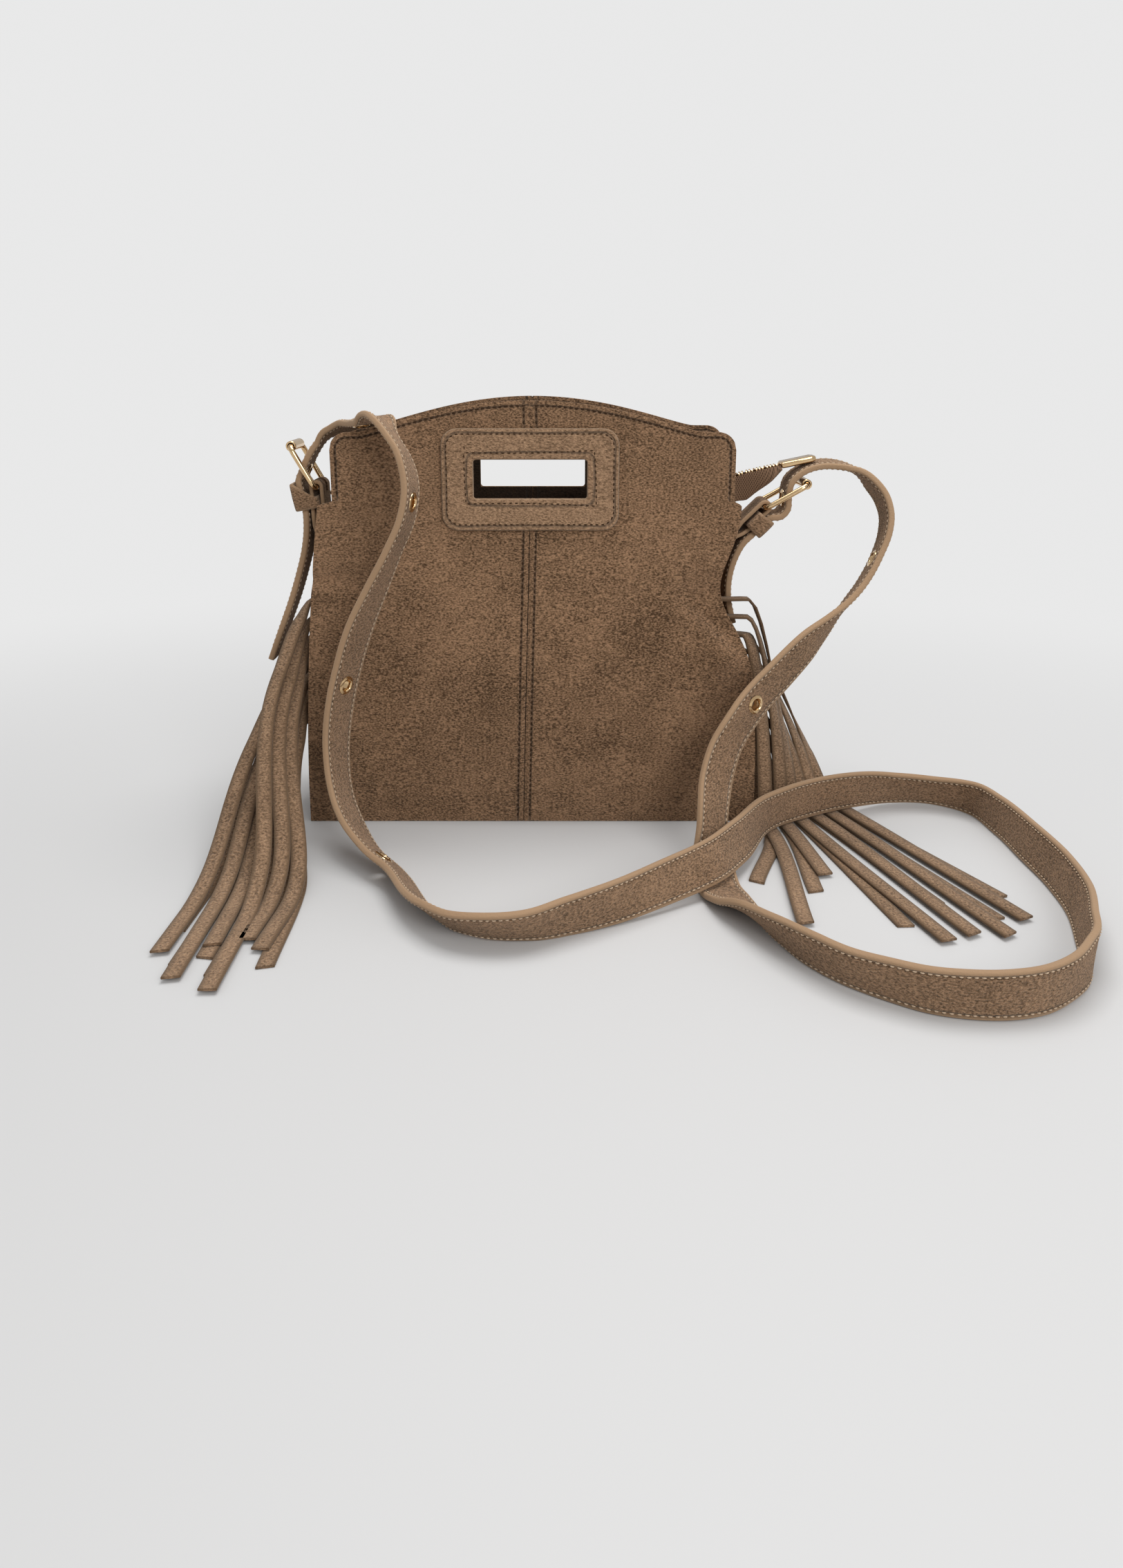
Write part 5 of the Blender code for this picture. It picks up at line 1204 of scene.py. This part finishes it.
# Strap: one long strip of two suedes glued back to back, sewn along both edges, the edges rounded and
# painted a light tan. It climbs from the left buckle over the shoulder, lies in a loop on the table and
# rises to the right buckle. Its route in millimetres: place and the direction of its front edge.
STRAP_WAY = (
    (-116, -2, 226.3, 0, -10, 2), (-110, -5, 229, 0, -10, 2), (-103.5, -10, 231.3, 0, -10, 2),
    (-95.5, -19, 233.2, -1, -10, 1), (-88.5, -30, 235, -1, -10, 0.5), (-82.5, -41.5, 235.8, -1.3, -9.7, 1),
    (-77.5, -49, 232, -1.8, -9.3, 2), (-73, -53, 226.5, -2, -9, 2.7), (-68, -57, 219.5, -2, -9, 3),
    (-63.5, -61, 203, -2, -10, 1.5), (-66, -63, 185, -2, -10, 2), (-74, -63, 167, -2, -9.5, 2),
    (-84, -62, 146, -3.5, -9, 2), (-94, -62, 124, -4.7, -8.6, 2), (-101, -62, 103, -4.6, -8.5, 2.4),
    (-106, -63, 83, -4.5, -8.5, 2.7), (-109, -67, 54, -4, -8.6, 3.2), (-106, -76, 35, -3.4, -8.7, 3.5),
    (-98, -89, 21.5, -3.2, -8.7, 3.8), (-85, -105, 11.5, -1.3, -9, 4.2), (-73.5, -116, 7.3, -1, -9, 4.4),
    (-47, -166.5, 9, -1.5, -7.7, 6.3), (-34, -179.5, 9.8, -1, -7, 7.1), (-18, -185.5, 10.6, -0.6, -5.9, 8.1),
    (1, -185, 10.9, -1.5, -5, 8.4), (22, -176, 11.3, -3, -3.4, 9), (45.5, -163.5, 12.2, -3, -1.3, 9.5),
    (70.5, -147, 14.3, -3, 1, 9.5), (97, -125.5, 15.8, -2.4, 4.4, 9), (113.5, -102, 15.8, -2, 4, 9),
    (137.5, -62, 15.6, -1.4, -1.3, 9.8), (165, -41.5, 15.4, -0.7, 0.2, 10),
    (191.5, -29.5, 15.4, -0.9, -1.2, 9.9),
    (219, -19, 12.6, -1.3, -3.5, 9.3), (243.5, -19.5, 11.4, -1.5, -4.2, 9),
    (264, -33.3, 11.6, -0.5, -2.7, 9.6),
    (270.7, -59, 11.8, 0.7, 0.3, 10), (273.7, -94, 11.8, 2, -0.4, 9.8), (275.5, -129, 11.4, 2.2, -3.8, 9),
    (272, -162, 11.2, 1.2, -5.2, 8.4), (264, -187, 11.4, 0.7, -4, 9.1), (253, -214.5, 11.6, 2.4, 3.7, 9),
    (238.5, -231, 11.8, 0.7, 0.5, 10), (222, -241.5, 11.8, -0.4, 0, 10), (205, -245.5, 11.8, -1, 0, 10),
    (188, -245, 11.8, -1.3, -0.3, 9.9), (172.9, -241.5, 11.8, -1.1, -1, 9.9),
    (158.5, -233.5, 11.6, -1.2, -1.8, 9.7), (144.5, -223.7, 11.4, -0.7, -3.3, 9.4),
    (131, -208.5, 11.2, -0.5, -4.4, 9), (119, -188, 9.8, -0.8, -7, 7.2),
    (109.5, -166, 7.4, -3, -7.4, 5.4), (103, -146, 3.9, -6.6, -6.4, 2), (99.3, -128, 2.1, -9.4, -3, 0),
    (98.3, -113, 7.5, -9.2, -3.8, -0.6), (98.8, -104, 19, -7.4, -6.6, -0.5), (99.8, -96.5, 33, -7.5, -6, 2.5),
    (102.5, -86.5, 46, -8, -5.5, 2.4), (108, -78, 60, -8, -5.3, 3), (117.5, -71, 74, -7.2, -5.4, 4.4),
    (127.5, -63.5, 84.5, -6.6, -4.9, 5.6), (140, -57.5, 96, -6.4, -5, 5.8), (155, -51, 110, -6.3, -6.2, 4.7),
    (168, -43.5, 120.5, -3.8, -8.3, 4), (180, -37, 132, -1.7, -9.6, 2.2), (191, -31, 144.5, -0.9, -9.8, 2),
    (199, -26, 158, -0.7, -9.8, 2), (204, -22, 171, -0.3, -9.8, 1.9), (205, -18.5, 181, -0.1, -9.8, 1.8),
    (202.5, -15, 190, 0.2, -9.7, 2.2), (196, -10.5, 198.7, -0.6, -9.5, 2.8), (188, -5, 205, -2, -9.8, 0.8),
    (179, -1.5, 207.7, -1.5, -9.9, -0.2), (169, 0, 207.9, -1, -10, -0.4),
)
IN_BUCKLE = {
    LEFT: ((22.0, -16.0), (18.2, -7.0), (15.0, -2.0), (11.4, 2.8), (8.6, 6.5)),
    RIGHT: ((27.4, -7.0), (21.0, -5.6), (17.0, -2.1), (13.8, 3.0), (10.9, 7.6), (5.6, 9.6)),
}
TAIL = {
    LEFT: ((131.9, 170), (133.8, 158), (137.3, 145.5), (142.8, 129), (149.5, 112), (157.4, 92)),
    RIGHT: ((124.5, 162.5), (119.3, 152), (116.8, 141), (116.8, 129), (120.2, 114.5)),
}
strap_places, strap_edges = [], []
strap_ends = {}
for side in (LEFT, RIGHT):
    length = keeper_length(side)
    run = [frame_point(side, along / 1000, across / 1000) for along, across in IN_BUCKLE[side]]
    run += [keeper_point(side, along, 0.0) for along in (0.0, length / 2, length)]
    strap_ends[side] = run + [Vector((side * out / 1000, 0, up / 1000)) for out, up in TAIL[side]]
for spot in reversed(strap_ends[LEFT]):
    strap_places.append(spot)
    strap_edges.append(Vector((0, -1, 0)))
for x, y, z, edge_x, edge_y, edge_z in STRAP_WAY:
    strap_places.append(Vector((x, y, z)) / 1000)
    strap_edges.append(Vector((edge_x, edge_y, edge_z)).normalized())
for spot in strap_ends[RIGHT]:
    strap_places.append(spot)
    strap_edges.append(Vector((0, -1, 0)))
steps = [max(2, math.ceil((after - before).length / 0.0024))
         for before, after in zip(strap_places, strap_places[1:])]
strap_line = smooth_line(strap_places, steps)
strap_edge_line = smooth_line(strap_places, steps, strap_edges)
strap_section = strip_section(STRAP_WIDTH, STRAP, 0.0012, arc=4, sunk=0.00012)
strap = sweep("long_strap", strap_line, strap_edge_line, strap_section, strap_suede, "bag", STRAP_WIDTH,
              row_at=STRAP_ROW)
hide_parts("strap")


def strap_frame(index):
    """The strap's along, edge and face directions at one of its points."""
    along = heading(strap_line, index)
    edge = square_to(along, strap_edge_line[index])
    return along, edge, along.cross(edge).normalized()


# Eyelets: rolled gold rings pressed through the strap, smooth on its outer face and split into petals on
# the inner one.
def nearest_to_ray(start, end):
    way = (end - start).normalized()
    return min(strap_line, key=lambda spot: ((spot - start) - way * (spot - start).dot(way)).length)


eyelet_spots = [Vector(spot) / 1000 for spot in (
    (-99, -20, 237), (-62, -61, 193), (-103.7, -62.3, 91), (-78.5, -111.5, 9.5), (125.5, -66, 82),
    (198, -30, 158))]
for side in (LEFT, RIGHT):
    eyelet_spots.append(nearest_to_ray(frame_point(side, 0.0020, 0.0021), frame_point(side, 0.030, 0.00395)))
ring_outline = mirrored(((0.0031, -0.0018), (0.0033, -0.0024), (0.0038, -0.00275), (0.0046, -0.0026),
                         (0.0053, -0.0022), (0.0054, -0.0019), (0.0037, -0.0017)))
drills = bmesh.new()
for number, target in enumerate(eyelet_spots, start=1):
    index = min(range(1, len(strap_line) - 1), key=lambda index: (strap_line[index] - target).length)
    place = Matrix.Translation(strap_line[index]) @ Matrix(strap_frame(index)).transposed().to_4x4()
    bmesh.ops.create_cone(drills, cap_ends=True, segments=20, radius1=0.0039, radius2=0.0039, depth=0.009,
                          matrix=place)
    spun(f"eyelet_ring_{number}", ring_outline, 32, place, "bag", f"eyelet_{number}", petals=6)
cut_away(strap, "eyelet holes", drills)

rows = []
for face_sign in (-1, 1):
    for edge_sign in (-1, 1):
        row = []
        for index in range(3, len(strap_line) - 3):
            _, edge, normal = strap_frame(index)
            aside = edge * (edge_sign * (STRAP_WIDTH / 2 - STRAP_ROW / 1000))
            normal *= face_sign
            row.append((strap_line[index] + aside + normal * (STRAP / 2 - 0.00015), normal))
        rows.append(row)
sew("strap_stitching", rows, half_length=0.0010, half_wide=0.00042, half_tall=0.00042, pitch=0.0031,
    thread=tan_thread)

# Fringe: narrow laces cut from the same suede, each drawn through two slits of the gusset so that both ends
# hang free. Their raw edges are darker, and they lie fanned out on the table where they land.
LACE, LACE_WIDTH = 0.0013, 0.0085
LACE_WAYS = {
    RIGHT: (
        (((134.6, -30), (139, -57)), (120.6, -120.6), (136.7, -167.6)),
        (((145.3, -25.3), (150, -51)), (149.6, -131.5), (158, -115)),
        (((154.4, -18.8), (160.3, -44.5)), (185.6, -167.6), (201, -184)),
        (((157.5, -5), (170.3, -38)), (208.1, -145.8), (215.2, -178.2)),
        (((165, 2), (179.3, -32)), (232.9, -160.7), (232.1, -178.9)),
        (((173.2, 9), (188.8, -26)), (243, -138), (246, -163)),
    ),
    LEFT: (
        (((136.5, -44), (119.5, -130)), (117.5, -205), (123, -192)),
        (((140.5, -44), (128.5, -130)), (129, -170), (131.5, -183)),
        (((144.5, -43), (137.9, -130)), (139, -212), (137.2, -226.5)),
        (((146.5, -4), (152, -45), (147.5, -130)), (147.4, -197), (146.5, -188)),
        (((146.8, -4), (155.8, -45), (156.4, -130)), (158, -203), (156.5, -216.5)),
        (((147.1, -4), (161.8, -45), (166.8, -130)), (168.5, -171), (169.2, -194)),
    ),
}
LANDING = {RIGHT: ((0.0245, 0.052), 0.0036), LEFT: ((0.1252, 0.1496), 0.007)}
LEAD = 0.0093
EARLY_FALL = {LEFT: 0.45, RIGHT: 0.0}
lace_suede = make_suede("lace suede", (0.090, 0.051, 0.027), (0.430, 0.270, 0.160), cloudiness=0.9,
                        pile_share=2.2, edge=(0.120, 0.074, 0.042), edge_rough=0.9)


def fallen_share(side, distance, landing):
    share = min(1.0, max(0.0, distance / landing))
    early = (1 - (1 - share) ** 3) * smooth_step(distance / LEAD)
    return smooth_step(share) * (1 - EARLY_FALL[side]) + early * EARLY_FALL[side]


def free_strip(side, column, row):
    y = LACE_COLUMNS[column]
    z = slit_height(column, row)
    out = gusset_out(side, y, z)
    level, path = divmod(row, 3)
    route, *tips = LACE_WAYS[side][column * 3 + path]
    stations = [Vector((out, y)), Vector((out + 0.005, y))]
    stations.extend(Vector(point) / 1000 for point in route + (tips[level],))
    plan = smooth_line(stations, [3, 12] + [24] * (len(stations) - 3))
    travel = travelled(plan, min(0.0, out - 0.127))
    landing = LANDING[side][0][column] + row * LANDING[side][1]
    floor_height = 0.00015 + LACE / 2 + level * 0.0017
    points, edges = [], []
    for index, spot in enumerate(plan):
        height = floor_height + (z - floor_height) * (1 - fallen_share(side, travel[index], landing))
        way = heading(plan, index)
        hanging = smooth_step(travel[index] / 0.020) * smooth_step((height - floor_height) / 0.030)
        lean = 0.17 * hanging * math.sin(travel[index] * 60 + row * 2.1 + column * 1.3)
        points.append(Vector((side * spot.x, spot.y, height)))
        edges.append(Vector((side * way.y, -way.x, lean)))
    return points, edges


for side in (LEFT, RIGHT):
    for column, y in enumerate(LACE_COLUMNS):
        for pair in range(3):
            lower_points, lower_edges = free_strip(side, column, pair * 2)
            upper_points, upper_edges = free_strip(side, column, pair * 2 + 1)
            link = []
            for row, sign in ((pair * 2 + 1, -1), (pair * 2, 1)):
                z = slit_height(column, row)
                wall = gusset_out(side, y, z) - SUEDE
                bend = []
                for degrees in (0, 18, 36, 54, 72, 90):
                    turn = math.radians(degrees)
                    bend.append(Vector((side * (wall - 0.0006 - 0.0013 * math.sin(turn)), y,
                                        z + sign * 0.0013 * (1 - math.cos(turn)))))
                link.extend(bend if sign < 0 else reversed(bend))
            line = list(reversed(upper_points)) + link + lower_points
            edges = list(reversed(upper_edges)) + [Vector((0, -1, 0))] * len(link)
            edges += [-edge for edge in lower_edges]
            fixed, sign = [edges[0]], 1.0
            for before, edge in zip(edges, edges[1:]):
                if before.dot(edge) < 0:
                    sign = -sign
                fixed.append(edge * sign)
            picker = random.Random(side * 31 + column * 7 + pair)
            section = strip_section(LACE_WIDTH, LACE, 0.00035, arc=2, crown=0.00005)
            cuts = (picker.uniform(-0.28, 0.28), picker.uniform(-0.28, 0.28))
            word = ("front", "rear")[column]
            name = f"{SIDE_WORD[side]}_{word}_lace_{pair + 1}"
            lace = sweep(name, line, fixed, section, lace_suede, "bag", LACE_WIDTH, end_cuts=cuts)
            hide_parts(f"{SIDE_WORD[side]}_lace_{word}_{pair + 1}")

bpy.context.scene.view_settings.view_transform = "Standard"
